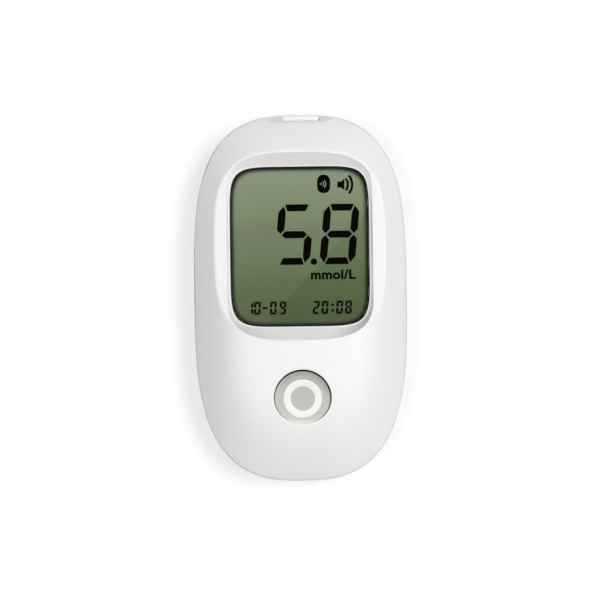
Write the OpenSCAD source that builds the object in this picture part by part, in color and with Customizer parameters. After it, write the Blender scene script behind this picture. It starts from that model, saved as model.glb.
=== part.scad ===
// Blood glucose meter, lying on its back: +Z out of the display, +Y to the strip end.
// The origin is the middle of the back face. All sizes are in millimetres.

/* [Body] */
// Width across the widest line
body_w = 56; // [54:0.5:62]
// Length from the strip end to the button end
body_l = 96.4; // [95:0.2:104]
// Thickness from the back face to the top of the crown
body_t = 20; // [19.6:0.2:23]
// Thickness of the two shells
wall = 1.8; // [1.6:0.1:1.9]
// Height of the parting line between the shells
part_z = 8.7; // [8.6:0.1:9.2]
// Height of the straight lip at the edge of the front shell
edge_lip = 1.2; // [1.1:0.1:1.5]
// How far in from the side the crown starts to fall
shoulder_in = 9; // [8.4:0.1:9.6]
// How gently the crown turns into its sloping sides
shoulder_soft = 6; // [5.2:0.1:6.8]
// How far in from the sides the back starts to round off
back_round_side = 7.8; // [6:0.2:9]
// How far in from the ends the back starts to round off
back_round_end = 13.5; // [12:0.5:14]
// Squareness of the long sides, where 2 is an ellipse
side_square = 2.75; // [2.6:0.05:3.1]
// Squareness of the strip end
strip_end_square = 3.55; // [3.4:0.05:4]
// Squareness of the button end
button_end_square = 3.15; // [3:0.05:3.6]

/* [Display] */
// Width of the display window
window_w = 36.6; // [34:0.2:37]
// Length of the display window
window_l = 42.1; // [39:0.1:42.5]
// Distance of the window's middle from the strip end
display_in = 34.6; // [34.2:0.1:35.6]
// Depth of the window's middle below the crown
window_sink = 6.1; // [5.7:0.1:6.3]
// Tilt of the window, down to the strip end
window_tilt = 3; // [2:0.25:3.5]
// Squareness of the window's sides
window_side_square = 6.2; // [5.5:0.1:7]
// Squareness of the window's strip end
window_top_square = 8; // [6.5:0.1:9]
// Squareness of the window's button end
window_bottom_square = 4.8; // [4.4:0.1:6]
// Width of the dish round the window
dish_w = 44.8; // [44:0.1:45.6]
// Length of the dish round the window
dish_l = 50.2; // [49.6:0.1:51]
// Squareness of the dish
dish_square = 3.4; // [3.2:0.05:3.8]
// Width between the two creases beside the window
crease_w = 38.6; // [38.2:0.1:40]
// Slope of the two crescents beside the creases, in degrees
crescent_slope = 12; // [8:1:14]
// Depth of the window below its edge in the shell
window_recess = 0.3; // [0.2:0.05:0.4]
// Thickness of the shell under the window's edge
seat_t = 1.4; // [1.3:0.05:1.5]
// Width of the flange round the window
flange_w = 1; // [0.8:0.1:1.1]
// Thickness of the flange round the window
flange_t = 0.5; // [0.4:0.05:0.6]
// Width of black gasket that shows inside the window's edge
gasket_show = 0.4; // [0.3:0.1:1.4]
// Thickness of the gasket
gasket_t = 0.4; // [0.3:0.05:0.5]
// Width of the display glass
glass_w = 37; // [36.6:0.1:37.4]
// Length of the display glass
glass_l = 42.5; // [42:0.1:42.8]
// Thickness of each display glass
glass_t = 0.7; // [0.5:0.05:0.7]
// Thickness of the polarizer and of the reflector
film_t = 0.2; // [0.1:0.05:0.25]
// Width of the rails round the display glass
rail_w = 1.2; // [1:0.05:1.3]
// Width of the ledge under the display glass
ledge_w = 2; // [1.5:0.1:2.5]
// Width of the elastomer connector strip
zebra_w = 2; // [1.6:0.1:2.2]
// Length of the elastomer connector strip
zebra_l = 30; // [24:1:32]

/* [Button] */
// Distance of the button's middle from the button end
button_in = 21.7; // [20.7:0.1:22.7]
// Diameter of the button hole
button_hole_d = 15.3; // [14:0.1:16]
// Gap round the button cap
button_gap = 0.2; // [0.15:0.01:0.25]
// Travel of the button
button_travel = 0.6; // [0.4:0.05:0.7]
// Tilt of the cap's face, down to the button end
cap_tilt = 6.5; // [5.5:0.5:8]
// Depth of the cap's rim below the shell
cap_sink = 0.45; // [0.35:0.05:0.6]
// Radius of the hollow in the cap's face
cap_dish_r = 60; // [45:1:90]
// Outer diameter of the ring on the cap
ring_outer_d = 10.2; // [9:0.1:11]
// Inner diameter of the ring on the cap
ring_inner_d = 6.3; // [5.5:0.1:7]
// Depth of the ring in the cap
ring_depth = 0.5; // [0.4:0.05:0.8]
// Width of the cap's flange
cap_flange_w = 0.95; // [0.7:0.05:1.1]
// Thickness of the cap's flange
cap_flange_t = 0.7; // [0.6:0.05:0.8]
// Diameter of the cap's stem
stem_d = 5; // [4:0.1:6]
// Width of the tact switch
switch_w = 6; // [5.5:0.1:6.5]
// Height of the tact switch
switch_h = 3.5; // [3.3:0.1:3.7]
// Diameter of the switch plunger
plunger_d = 3.5; // [3:0.1:3.6]

/* [Strip port] */
// Width of the scoop over the strip mouth
scoop_w = 17.7; // [16.6:0.1:18.4]
// Depth of the scoop from the strip end
scoop_l = 2.5; // [2.3:0.1:2.8]
// Width of the strip ledge
strip_ledge_w = 9.7; // [9.2:0.1:10]
// Width of the strip slot
slot_w = 8.2; // [7.6:0.1:8.4]
// Height of the strip slot
slot_h = 0.8; // [0.7:0.05:0.9]
// Height of the slot's floor above the parting line
slot_lift = 0.5; // [0.45:0.05:0.6]
// Width of the strip connector
connector_w = 12; // [11.5:0.1:12.2]
// Length of the strip connector
connector_l = 5; // [4.6:0.1:5.2]

/* [Battery] */
// Diameter of the coin cells
cell_d = 20; // [19.6:0.1:20.2]
// Height of the coin cells
cell_h = 3.2; // [2.8:0.1:3.3]
// Width of the battery door
door_w = 26; // [25:0.2:27]
// Distance of the battery bay from the button end
bay_in = 10.6; // [10:0.1:11]
// Height of the door's curved end
door_end_h = 5.6; // [5.3:0.1:6]
// Width of the door's sliding tongues
tongue_w = 0.9; // [0.7:0.05:1]

/* [Inside] */
// Thickness of the main board
board_t = 1; // [0.8:0.05:1.1]
// Width of the main board beside the display
board_w = 41; // [40:0.2:41.4]
// Width of the main board beside the button
board_low_w = 28; // [24:0.5:29]
// Diameter of the loudspeaker
speaker_d = 16; // [14:0.2:16.4]
// Height of the loudspeaker
speaker_h = 3; // [2.6:0.1:3.2]
// Distance of the loudspeaker's middle from the strip end
speaker_in = 22.7; // [22.2:0.1:23.2]
// Diameter of the sound holes
sound_hole_d = 1.2; // [1:0.1:1.6]
// Diameter of the housing screws
screw_d = 2; // [1.8:0.1:2.2]
// Diameter of the housing screw heads
screw_head_d = 3.8; // [3.4:0.1:4]
// Diameter of the housing screw bosses
boss_d = 5.6; // [5.2:0.1:5.8]
// Width of the blank label on the back
label_w = 30; // [24:1:32]
// Length of the blank label on the back
label_l = 6; // [5:0.2:6.4]

/* [Hidden] */
$fn = 64;

// Gaps between pieces
fit = 0.15;        // a piece that is laid into another
slide = 0.2;       // a piece that slides in another
air = 0.3;         // two pieces that only pass each other
over = 30;         // cutters reach this far past what they cut
cut_half = 60;     // half the width of a cutter that covers the whole body
hair = 0.05;       // a piece that rests on another

// Outline points
steps = 72;        // points round each outline
even = 1.5;        // spreads the points evenly round the outline
crown_round = 2.7; // roundness of the crown's height lines

// Heights, from the back face up
rail_t = 0.8;                                    // lip under the door's tongues
cell_lift = 0.2;                                 // ribs of the door that carry the cells
contact_space = 0.5;                             // room for the spring contacts
roof_t = 1;                                      // roof of the battery bay
cell_z = wall + cell_lift;
cell_top = cell_z + cell_h;
roof_z = cell_top + contact_space;
board_z = roof_z + roof_t + air;
board_top = board_z + board_t;
window_z = body_t - window_sink;
slot_z = part_z + slot_lift;
rim_z = part_z + edge_lip;

// Shell joint
tongue_h = 0.8;                                  // tongue of the rear shell
tongue_t = 0.65;                                 // its thickness
rabbet_z = part_z + tongue_h + fit;
rabbet_in = wall - tongue_t - fit;

// Places along the body
display_y = body_l / 2 - display_in;
button_y = button_in - body_l / 2;
speaker_y = body_l / 2 - speaker_in;

// Edge of the dish: share of its size at which the slope to the window starts
dish_edge = 0.985;
land_w = 0.25;                                   // flat land round the window hole
flange_gap = 0.3;

// Display stack, measured down from the window's face
lens_t = seat_t - window_recess;
flange_z = lens_t + flange_t;
stack_z = flange_z + gasket_t;
front_glass_z = stack_z + film_t;
rear_glass_z = front_glass_z + glass_t;
reflector_z = rear_glass_z + glass_t;
stack_end = reflector_z + film_t;
rail_drop = 0.4;                                 // from the gasket to the frame's rails
rail_top = stack_z + rail_drop;
zebra_in = 0.4;                                  // from the glass edge to the connector strip
glass_step = zebra_in + zebra_w + air;           // the rear glass is this much shorter
frame_corner = 4;                                // chamfer of the frame's corners

// Button
button_r = button_hole_d / 2;
cap_r = button_r - button_gap;
cap_flange_r = cap_r + cap_flange_w;
guide_wall = 1.1;
guide_drop = 5.5;                                // guide ring, below the crown's top
guide_z = body_t - 1 - guide_drop;
cap_base = guide_z - slide - cap_flange_t;
plunger_top = board_top + switch_h + button_travel;
plunger_in = 1.3;                                // plunger length inside the switch
cap_roof = 1.6;
cap_wall = 1.4;

// Battery bay and door
cell_space = 0.3;                                // gap round a cell
cell_pitch = cell_d + 2 * cell_space + slide;
pocket_r = cell_d / 2 + cell_space;
bay_wall = 2;
bay_low_y = bay_in - body_l / 2;
lower_cell_y = bay_low_y + bay_wall + pocket_r;
upper_cell_y = lower_cell_y + cell_pitch;
door_top = upper_cell_y + pocket_r + bay_wall + slide;
bay_side = 0.9;                                  // wall beside the door's tongues
bay_w = door_w + 2 * (tongue_w + slide + bay_side);
latch_l = 1.2;                                   // tongue at the door's closed edge
bay_end = 1;                                     // wall past the door's latch
bay_top_y = door_top + latch_l + slide + bay_end;
door_end_gap = 0.8;
door_end_y = bay_low_y - door_end_gap;           // where the door's curved end starts
pocket_channel = 12;                             // opening between the two cell pockets
door_rib_w = 1;                                  // ribs under the cells
door_rib_y = bay_low_y + bay_wall + 4;

// Places of the bosses and screws
board_screw_d = 1.8;
board_screw_head_d = 3.2;
board_screw_head_h = 1;
board_screw_l = 4.5;
board_post_d = 4.4;
top_boss_end = 7.8;                              // from the strip end
low_boss_in = 10;
low_boss_end = 18.2;                             // from the button end
neck_screw_gap = 0.4;                            // from the strip connector to the screw beside it
neck_screw_in = 1.9;
neck_gap = 0.8;                                  // between the board's neck and the bosses
neck_side = connector_w / 2 + neck_screw_gap + board_screw_head_d / 2;
board_neck_w = 2 * (neck_side + neck_screw_in);
top_boss = [board_neck_w / 2 + neck_gap + boss_d / 2, body_l / 2 - top_boss_end];
low_boss = [body_w / 2 - low_boss_in, low_boss_end - body_l / 2];
boss_places = [
    [top_boss[0], top_boss[1]], [-top_boss[0], top_boss[1]],
    [low_boss[0], low_boss[1]], [-low_boss[0], low_boss[1]]
];
head_seat = 4.4;                                 // height of the screw head's seat
head_h = 1.4;
screw_l = 7;
recess_r = screw_head_d / 2 + slide;
board_end_gap = 4.2;                             // from the strip end to the board's neck
board_past_glass = 2;                            // the board goes this far past the display glass
board_foot = 8.3;                                // wide part of the board below the display glass
board_past_boss = 5;
screw_in = 2.9;                                  // a board screw's distance from the board's side
screw_up = 3.5;                                  // and from the step in the board
neck_screw_up = 2.6;
board_low_y = low_boss[1] - board_past_boss;
board_step_y = display_y - glass_l / 2 - board_foot;
board_side = board_w / 2 - screw_in;
board_top_y = display_y + glass_l / 2 + board_past_glass;
board_neck_y = body_l / 2 - board_end_gap;
board_corner = 5;
board_places = [
    [board_side, board_step_y + screw_up], [-board_side, board_step_y + screw_up],
    [neck_side, board_top_y + neck_screw_up], [-neck_side, board_top_y + neck_screw_up]
];
board_rest_places = [[board_side, display_y], [-board_side, display_y]];

// Strip port
scoop_y = body_l / 2 - scoop_l;
scoop_corner = 1.5;
port_wall = 1.8;
port_side = 1.5;                                 // shell beside the scoop
port_w = scoop_w + 2 * port_side;
port_flange = 1.5;                               // flange beside the tunnel
tunnel_out = 0.4;                                // the tunnel stands out of the scoop's back wall
ledge_back = 0.6;                                // from the ledge's edge to the strip end
tunnel_wall = 1.4;                               // beside the slot
tunnel_w = slot_w + 2 * tunnel_wall;
tunnel_roof = 0.5;
tunnel_top = slot_z + slot_h + tunnel_roof;
port_base = part_z + hair;
connector_y = board_top_y + air;                 // its end on the display side
connector_roof = 0.9;
connector_wall = 1;
port_back_y = connector_y + connector_l + slide;
contact_count = 4;
contact_pitch = 1.6;
contact_w = 0.6;
contact_t = 0.3;

// Loudspeaker
speaker_foam_t = 0.5;
speaker_z = wall + speaker_foam_t;
speaker_wall = 0.8;
speaker_ring_w = 1;
speaker_plate_t = 0.5;
magnet_share = 0.575;                            // of the loudspeaker's diameter
magnet_d = speaker_d * magnet_share;
magnet_in = 1.3;
magnet_out = 0.4;
cone_t = 0.2;
cone_rise = 1.2;                                 // height of the cone's crest
cone_mid = 0.9;                                  // height of its dimple
cone_rim = 1.2;                                  // width of its flat rim
foam_w = 1.5;
socket_h = 2;                                    // ring of the rear shell round the loudspeaker
pin_d = 1.2;
pin_in = 1.9;                                    // from the loudspeaker's edge
pin_collar = 0.2;
pin_tip = 0.9;
sound_rings = [0, 1, 2];
sound_pitch = 2.6;

// Label on the back
label_deep = 0.25;
label_t = 0.15;
label_over_bay = 0.4;
label_y = bay_top_y + label_l / 2 - label_over_bay;

// ---- Outlines and heights ----

function sgn(v) = v < 0 ? -1 : 1;
function bend(v, p) = sgn(v) * pow(abs(v), p);

// Parameter angle of point i, spread evenly round a squarish outline
function turn(i) = atan2(bend(sin(360 * i / steps), even), bend(cos(360 * i / steps), even));

// Point i of a squarish oval with half sizes a, b; n, top and low give its squareness
function oval_point(a, b, n, top, low, i) =
    let (t = turn(i), m = sin(t) < 0 ? low : top)
    [a * bend(cos(t), 2 / n), b * bend(sin(t), 2 / m)];

function body_point(inset, i) = oval_point(body_w / 2 - inset, body_l / 2 - inset,
    side_square, strip_end_square, button_end_square, i);
function body_outline(inset) = [for (i = [0:steps - 1]) body_point(inset, i)];

function window_point(grow, i) = oval_point(window_w / 2 + grow, window_l / 2 + grow,
    window_side_square, window_top_square, window_bottom_square, i);
function window_outline(grow) = [for (i = [0:steps - 1]) window_point(grow, i)];

function dish_point(i) = [0, display_y]
    + oval_point(dish_w / 2, dish_l / 2, dish_square, dish_square, dish_square, i);

// The crease keeps beside the window and meets the dish's edge at both ends
function crease_point(i) =
    let (p = dish_point(i), x = dish_edge * p[0], half = crease_w / 2)
    [max(-half, min(half, x)), display_y + dish_edge * (p[1] - display_y)];

function mix(p, q, s) = p + (q - p) * s;

// Share of the way from the body's middle to its edge
function reach(p) = pow(pow(2 * abs(p[0]) / body_w, side_square)
    + pow(2 * abs(p[1]) / body_l, p[1] < 0 ? button_end_square : strip_end_square), 1 / crown_round);

// The crown is flat in the middle and falls to the rim on an even slope
shoulder = 1 - 2 * shoulder_in / body_w;
soft = 2 * shoulder_soft / body_w;
function fall(r) = (r - shoulder + sqrt(pow(r - shoulder, 2) + soft * soft)) / 2;
crown_scale = (body_t - rim_z) / (fall(1) - fall(0));
function crown_z(p) = body_t - crown_scale * (fall(reach(p)) - fall(0));

// Height of the window's face at a place along the body
function face_z(y) = window_z - (y - display_y) * tan(window_tilt);

function crease_z(i) = crown_z(dish_point(i))
    + norm(dish_point(i) - crease_point(i)) * tan(crescent_slope);

// Rings of points, each one [x, y, z] for every step
function ring(points, heights) = [for (i = [0:steps - 1]) [points[i][0], points[i][1], heights[i]]];
function level_ring(points, z) = [for (p = points) [p[0], p[1], z]];
function crown_ring(points, drop, least) =
    [for (p = points) [p[0], p[1], max(least, crown_z(p) - drop)]];
function between(s, inset) = [for (i = [0:steps - 1]) mix(dish_point(i), body_point(inset, i), s)];

// ---- Building helpers ----

// Closed skin through a stack of rings, the first one on top
module ring_solid(rings) {
    last = len(rings) - 1;
    sides = [for (k = [0:last - 1], i = [0:steps - 1])
        let (a = k * steps + i, b = k * steps + (i + 1) % steps)
        for (f = [[a, a + steps, b + steps], [a, b + steps, b]]) f];
    top = [[for (i = [0:steps - 1]) i]];
    low = [[for (i = [0:steps - 1]) (last + 1) * steps - 1 - i]];
    polyhedron(points = [for (r = rings, p = r) p],
        faces = [for (f = concat(top, sides, low)) [for (k = [len(f) - 1:-1:0]) f[k]]]);
}

module in_window_plane() {
    translate([0, display_y, window_z])
        rotate([-window_tilt, 0, 0])
            children();
}

// Layer of the display stack, from one depth below the window's face to another
module stack_layer(top, low) {
    in_window_plane()
        translate([0, 0, -low])
            linear_extrude(low - top)
                children();
}

module block(w, y0, y1, z0, z1) {
    translate([-w / 2, y0, z0])
        cube([w, y1 - y0, z1 - z0]);
}

module post(place, r, z0, z1) {
    translate([place[0], place[1], z0])
        cylinder(r = r, h = z1 - z0);
}

// ---- Front shell ----

rim_soft = 0.25;    // how far in from the side the crown turns to the edge
rim_drop = 0.05;
crescent_at = 0.5;  // share of the crescent's width where it is hollow
crescent_lift = 0.25;
crown_steps = [0.1, 0.2, 0.3, 0.42, 0.54, 0.66, 0.78, 0.89, 0.97];
inner_steps = [0.14, 0.28, 0.42, 0.56, 0.7, 0.84];

module front_outer() {
    crease = [for (i = [0:steps - 1]) crease_point(i)];
    dish = [for (i = [0:steps - 1]) dish_point(i)];
    land = [for (p = window_outline(land_w)) [p[0], p[1] + display_y]];
    crescent = [for (i = [0:steps - 1]) mix(crease[i], dish[i], crescent_at)];
    crescent_z = [for (i = [0:steps - 1]) mix(crease_z(i), crown_z(dish[i]), crescent_lift)];
    ring_solid(concat(
        [ring(land, [for (p = land) face_z(p[1]) + window_recess])],
        [ring(crease, [for (i = [0:steps - 1]) crease_z(i)])],
        [ring(crescent, crescent_z)],
        [crown_ring(dish, 0, 0)],
        [for (s = crown_steps) crown_ring(between(s, 0), 0, 0)],
        [crown_ring(body_outline(rim_soft), rim_drop, 0)],
        [level_ring(body_outline(0), rim_z - air)],
        [level_ring(body_outline(0), part_z)]
    ));
}

module front_inner() {
    seat = [for (p = window_outline(flange_w + flange_gap)) [p[0], p[1] + display_y]];
    dish = [for (i = [0:steps - 1]) dish_point(i)];
    ledge = rabbet_z + fit;
    ring_solid(concat(
        [ring(seat, [for (p = seat) face_z(p[1]) - lens_t])],
        [crown_ring(dish, wall, ledge)],
        [for (s = inner_steps) crown_ring(between(s, wall), wall, ledge)],
        [crown_ring(body_outline(wall), wall, ledge)],
        [level_ring(body_outline(wall), rabbet_z)],
        [level_ring(body_outline(rabbet_in), rabbet_z)],
        [level_ring(body_outline(rabbet_in), part_z - over)]
    ));
}

module scoop() {
    half = scoop_w / 2;
    block(scoop_w, scoop_y + scoop_corner, scoop_y + over, part_z - over, body_t + over);
    block(scoop_w - 2 * scoop_corner, scoop_y, scoop_y + over, part_z - over, body_t + over);
    for (side = [-1, 1])
        post([side * (half - scoop_corner), scoop_y + scoop_corner], scoop_corner, part_z - over,
            body_t + over);
}

module front_housing() {
    color("#f4f4f2")
    difference() {
        front_outer();
        difference() {
            front_inner();
            for (place = boss_places)
                post(place, boss_d / 2, part_z, body_t);
            post([0, button_y], button_r + guide_wall, guide_z, body_t);
            block(port_w, scoop_y - port_wall, scoop_y + over, part_z, body_t);
        }
        in_window_plane()
            translate([0, 0, -over / 2])
                linear_extrude(over)
                    polygon(window_outline(0));
        post([0, button_y], button_r, part_z, body_t + over);
        scoop();
        block(tunnel_w + 2 * fit, port_back_y, scoop_y + over, part_z - over, tunnel_top + fit);
        for (place = boss_places)
            post(place, screw_d / 2 + hair, part_z - over, head_seat + screw_l + air);
    }
}

// ---- Rear shell and battery door ----

back_steps = [0, 14, 28, 41, 53, 65, 77, 90];

// The back rounds up from its flat face to the parting line; inset and lift make the inner skin
module rear_skin(inset, floor_z, top) {
    side = body_w / 2 - inset;
    end = body_l / 2 - inset;
    curve = [for (k = [len(back_steps) - 1:-1:0])
        let (t = back_steps[k], s = 1 - sin(t))
        [for (i = [0:steps - 1])
            let (p = oval_point(side - back_round_side * s, end - back_round_end * s,
                side_square, strip_end_square, button_end_square, i))
            [p[0], p[1], floor_z + (part_z - floor_z) * (1 - cos(t))]]];
    ring_solid(top > part_z ? concat([level_ring(body_outline(inset), top)], curve) : curve);
}

module rear_outer() {
    rear_skin(0, 0, part_z);
}

module rear_inner() {
    rear_skin(wall, wall, part_z + over);
}

module cell_pockets() {
    for (y = [upper_cell_y, lower_cell_y])
        post([0, y], pocket_r, -over, roof_z);
    block(pocket_channel, lower_cell_y, upper_cell_y, -over, roof_z);
}

// Opening for the door: a hole, a groove for its tongues and a gap for its curved end
module door_opening() {
    block(door_w + 2 * slide, -over - body_l / 2, door_top + slide, -over, rail_t + fit);
    block(door_w + 2 * (tongue_w + slide), -over - body_l / 2, door_top + latch_l + slide, rail_t,
        wall + fit);
    block(door_w + 2 * slide, -over - body_l / 2, door_end_y + slide, rail_t, door_end_h + slide);
}

module sound_holes() {
    for (k = sound_rings, j = [0:max(0, 6 * k - 1)])
        translate([0, speaker_y, -over / 2])
            rotate(k > 0 ? 60 * j / k : 0)
                translate([k * sound_pitch, 0, 0])
                    cylinder(d = sound_hole_d, h = over / 2 + wall + air, $fn = 24);
}

module contact_slots() {
    for (y = [upper_cell_y, lower_cell_y]) {
        translate([0, y, 0])
            spring_tail(fit);
        translate([0, y, 0]) {
            side_plate(fit);
            side_tail(fit);
        }
    }
}

module rear_housing() {
    color("#eceeef")
    difference() {
        union() {
            rear_outer();
            translate([0, 0, part_z - wall])
                linear_extrude(wall + tongue_h)
                    polygon(body_outline(wall - tongue_t));
        }
        difference() {
            rear_inner();
            block(bay_w, bay_low_y, bay_top_y, 0, roof_z + roof_t);
            for (place = boss_places)
                post(place, boss_d / 2, 0, part_z - hair);
            for (place = board_places)
                post(place, board_post_d / 2, 0, board_z);
            for (place = board_rest_places)
                post(place, board_post_d / 2, 0, board_z);
            post([0, speaker_y], speaker_d / 2 + slide + speaker_ring_w, 0, speaker_z + socket_h);
        }
        post([0, speaker_y], speaker_d / 2 + slide, wall, speaker_z + over);
        cell_pockets();
        contact_slots();
        door_opening();
        sound_holes();
        block(label_w + 2 * fit, label_y - label_l / 2 - fit, label_y + label_l / 2 + fit, -over,
            label_deep);
        block(port_w + 2 * air, scoop_y - port_wall - over, scoop_y + over, part_z, part_z + over);
        for (place = boss_places) {
            post(place, recess_r, -over, head_seat);
            post(place, screw_d / 2 + fit, 0, part_z + over);
        }
        for (place = board_places)
            post(place, board_screw_d / 2 + hair, board_top - board_screw_l - air, board_z + over);
    }
}

grip_count = 5;
grip_pitch = 1.8;
grip_w = 12;
grip_deep = 0.4;
grip_y = -6;

module battery_door() {
    color("#e6e8ea")
    difference() {
        intersection() {
            rear_outer();
            union() {
                block(door_w, -body_l, door_top, -over, wall);
                block(door_w + 2 * tongue_w, -body_l, door_top + latch_l, rail_t + hair, wall);
                block(door_w, -body_l, door_end_y, -over, door_end_h);
                for (side = [-1, 1])
                    translate([side * pocket_channel / 2 - door_rib_w / 2, door_rib_y, 0])
                        cube([door_rib_w, upper_cell_y - bay_low_y, cell_z - hair]);
            }
        }
        difference() {
            rear_inner();
            block(body_w, door_end_y, body_l, 0, part_z);
        }
        for (k = [0:grip_count - 1])
            block(grip_w, grip_y - k * grip_pitch, grip_y - k * grip_pitch + grip_pitch / 2, -over,
                grip_deep);
    }
}

// ---- Display stack ----

module display_window() {
    color("#cfd6d2", 0.4) {
        stack_layer(0, lens_t)
            polygon(window_outline(-slide / 2));
        stack_layer(lens_t, flange_z)
            polygon(window_outline(flange_w));
    }
}

module window_gasket() {
    color("#181a1a")
    difference() {
        stack_layer(flange_z, stack_z)
            polygon(window_outline(flange_w - slide / 2));
        stack_layer(flange_z - over, stack_z + over)
            polygon(window_outline(-gasket_show));
    }
}

module lcd_sheet(w, l, shift) {
    translate([-w / 2, -l / 2 + shift])
        square([w, l - shift]);
}

module lcd_polarizer() {
    color("#8a957c")
    stack_layer(stack_z, front_glass_z)
        lcd_sheet(glass_w - 2 * film_t, glass_l - 2 * film_t, 0);
}

module lcd_front_glass() {
    color("#a9b39c")
    stack_layer(front_glass_z, rear_glass_z)
        lcd_sheet(glass_w, glass_l, 0);
}

module lcd_rear_glass() {
    color("#9aa58e")
    stack_layer(rear_glass_z, reflector_z)
        lcd_sheet(glass_w, glass_l, glass_step);
}

module lcd_reflector() {
    color("#7f8b70")
    stack_layer(reflector_z, stack_end)
        lcd_sheet(glass_w, glass_l, glass_step);
}

module lcd_frame() {
    half_w = glass_w / 2 + fit + rail_w;
    half_l = glass_l / 2 + fit + rail_w;
    cut = frame_corner;
    color("#222426")
    difference() {
        translate([0, display_y, board_top])
            linear_extrude(window_z)
                polygon([
                    [half_w, cut - half_l], [half_w, half_l - cut], [half_w - cut, half_l],
                    [cut - half_w, half_l], [-half_w, half_l - cut], [-half_w, cut - half_l],
                    [cut - half_w, -half_l], [half_w - cut, -half_l]
                ]);
        in_window_plane()
            translate([-cut_half, -cut_half, -rail_top])
                cube([2 * cut_half, 2 * cut_half, over]);
        in_window_plane()
            translate([-glass_w / 2 - fit, -glass_l / 2 - fit, -stack_end])
                cube([glass_w + 2 * fit, glass_l + 2 * fit, over]);
        translate([ledge_w - glass_w / 2, display_y - glass_l / 2 + glass_step + ledge_w, 0])
            cube([glass_w - 2 * ledge_w, glass_l - glass_step - 2 * ledge_w, window_z]);
        translate([-zebra_l / 2 - fit, display_y - glass_l / 2 + zebra_in - fit, 0])
            cube([zebra_l + 2 * fit, zebra_w + 2 * fit, window_z]);
    }
}

module zebra_connector() {
    color("#c98f9a")
    difference() {
        translate([-zebra_l / 2, display_y - glass_l / 2 + zebra_in, board_top])
            cube([zebra_l, zebra_w, window_z]);
        in_window_plane()
            translate([-cut_half, -cut_half, -rear_glass_z])
                cube([2 * cut_half, 2 * cut_half, over]);
    }
}

// ---- Board and what it carries ----

module main_board() {
    wide = board_w / 2;
    low = board_low_w / 2;
    neck = board_neck_w / 2;
    cut = board_corner;
    color("#2f6b46")
    difference() {
        translate([0, 0, board_z])
            linear_extrude(board_t)
                polygon([
                    [low, board_low_y], [low, board_step_y], [wide, board_step_y],
                    [wide, board_top_y - cut],
                    [wide - cut, board_top_y], [neck, board_top_y], [neck, board_neck_y],
                    [-neck, board_neck_y], [-neck, board_top_y], [cut - wide, board_top_y],
                    [-wide, board_top_y - cut], [-wide, board_step_y], [-low, board_step_y],
                    [-low, board_low_y]
                ]);
        for (place = board_places)
            post(place, board_screw_d / 2 + fit, 0, part_z);
    }
}

chip_w = 6;
chip_h = 1;
chip_x = -12;         // left edge of the microcontroller
module_w = 12;
module_l = 6.4;
module_h = 1.5;
module_x = 3;         // left edge of the wireless module

// Both lie under the display glass, just inside the frame's ledge
chip_y = display_y - glass_l / 2 + glass_step + ledge_w + air;

module microcontroller() {
    color("#26282b")
    translate([chip_x, chip_y, board_top])
        cube([chip_w, chip_w, chip_h]);
}

module wireless_module() {
    color("#8d9296")
    translate([module_x, chip_y, board_top])
        cube([module_w, module_l, module_h]);
}

part_count = 6;
part_pitch = 5;
part_size = [2, 1.2, 0.8];
part_row = 4;
part_low = 9;         // the lower row's distance below the display's middle

module chip_components() {
    color("#b8a88a")
    for (k = [0:part_count - 1], row = [0, 1])
        translate([(k - (part_count - 1) / 2) * part_pitch - part_size[0] / 2,
            display_y - part_low + row * part_row, board_top])
            cube(part_size);
}

leg_t = 0.3;
leg_l = 1;

module tact_switch() {
    half = switch_w / 2;
    top = board_top + switch_h;
    color("#3a3c3e")
    difference() {
        union() {
            block(switch_w, button_y - half, button_y + half, board_top, top);
            for (y = [button_y - switch_w / 3, button_y + switch_w / 3])
                block(switch_w + 2 * leg_l, y - leg_t, y + leg_t, board_top, board_top + leg_t);
        }
        post([0, button_y], plunger_d / 2 + slide, top - plunger_in - button_travel - slide, body_t);
    }
}

module switch_plunger() {
    color("#e8e2d0")
    post([0, button_y], plunger_d / 2, board_top + switch_h - plunger_in, plunger_top);
}

// Tilted frame of the cap's face; its origin is the middle of the rim
cap_low = crown_z([0, button_y - button_r]);
cap_high = crown_z([0, button_y + button_r]);
face_mid = (cap_low + cap_high) / 2 - cap_sink;

module in_cap_face() {
    translate([0, button_y, face_mid])
        rotate([cap_tilt, 0, 0])
            children();
}

dish_deep = cap_dish_r - sqrt(cap_dish_r * cap_dish_r - cap_r * cap_r);

// Everything above the cap's hollow face; the sphere lies on its side, so no pole is on the cap
module above_face() {
    in_cap_face()
        translate([0, 0, cap_dish_r - dish_deep])
            rotate([90, 0, 0])
                sphere(r = cap_dish_r, $fn = 360);
}

module ring_slot() {
    difference() {
        post([0, button_y], ring_outer_d / 2, cap_base, body_t);
        post([0, button_y], ring_inner_d / 2, 0, body_t + over);
        in_cap_face()
            translate([-cut_half, -cut_half, -dish_deep - ring_depth - over])
                cube([2 * cut_half, 2 * cut_half, over]);
    }
}

module button_cap() {
    hollow_top = face_mid - cap_r * sin(cap_tilt) - dish_deep - cap_roof;
    color("#c6c6bf")
    difference() {
        union() {
            post([0, button_y], cap_r, cap_base, body_t + 1);
            post([0, button_y], cap_flange_r, cap_base, cap_base + cap_flange_t);
            post([0, button_y], stem_d / 2, plunger_top, body_t);
        }
        above_face();
        difference() {
            post([0, button_y], cap_r - cap_wall, 0, hollow_top);
            post([0, button_y], stem_d / 2, 0, body_t);
        }
        ring_slot();
    }
}

module button_ring() {
    color("#fbfbf8")
    difference() {
        ring_slot();
        above_face();
    }
}

// ---- Strip port ----

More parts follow.
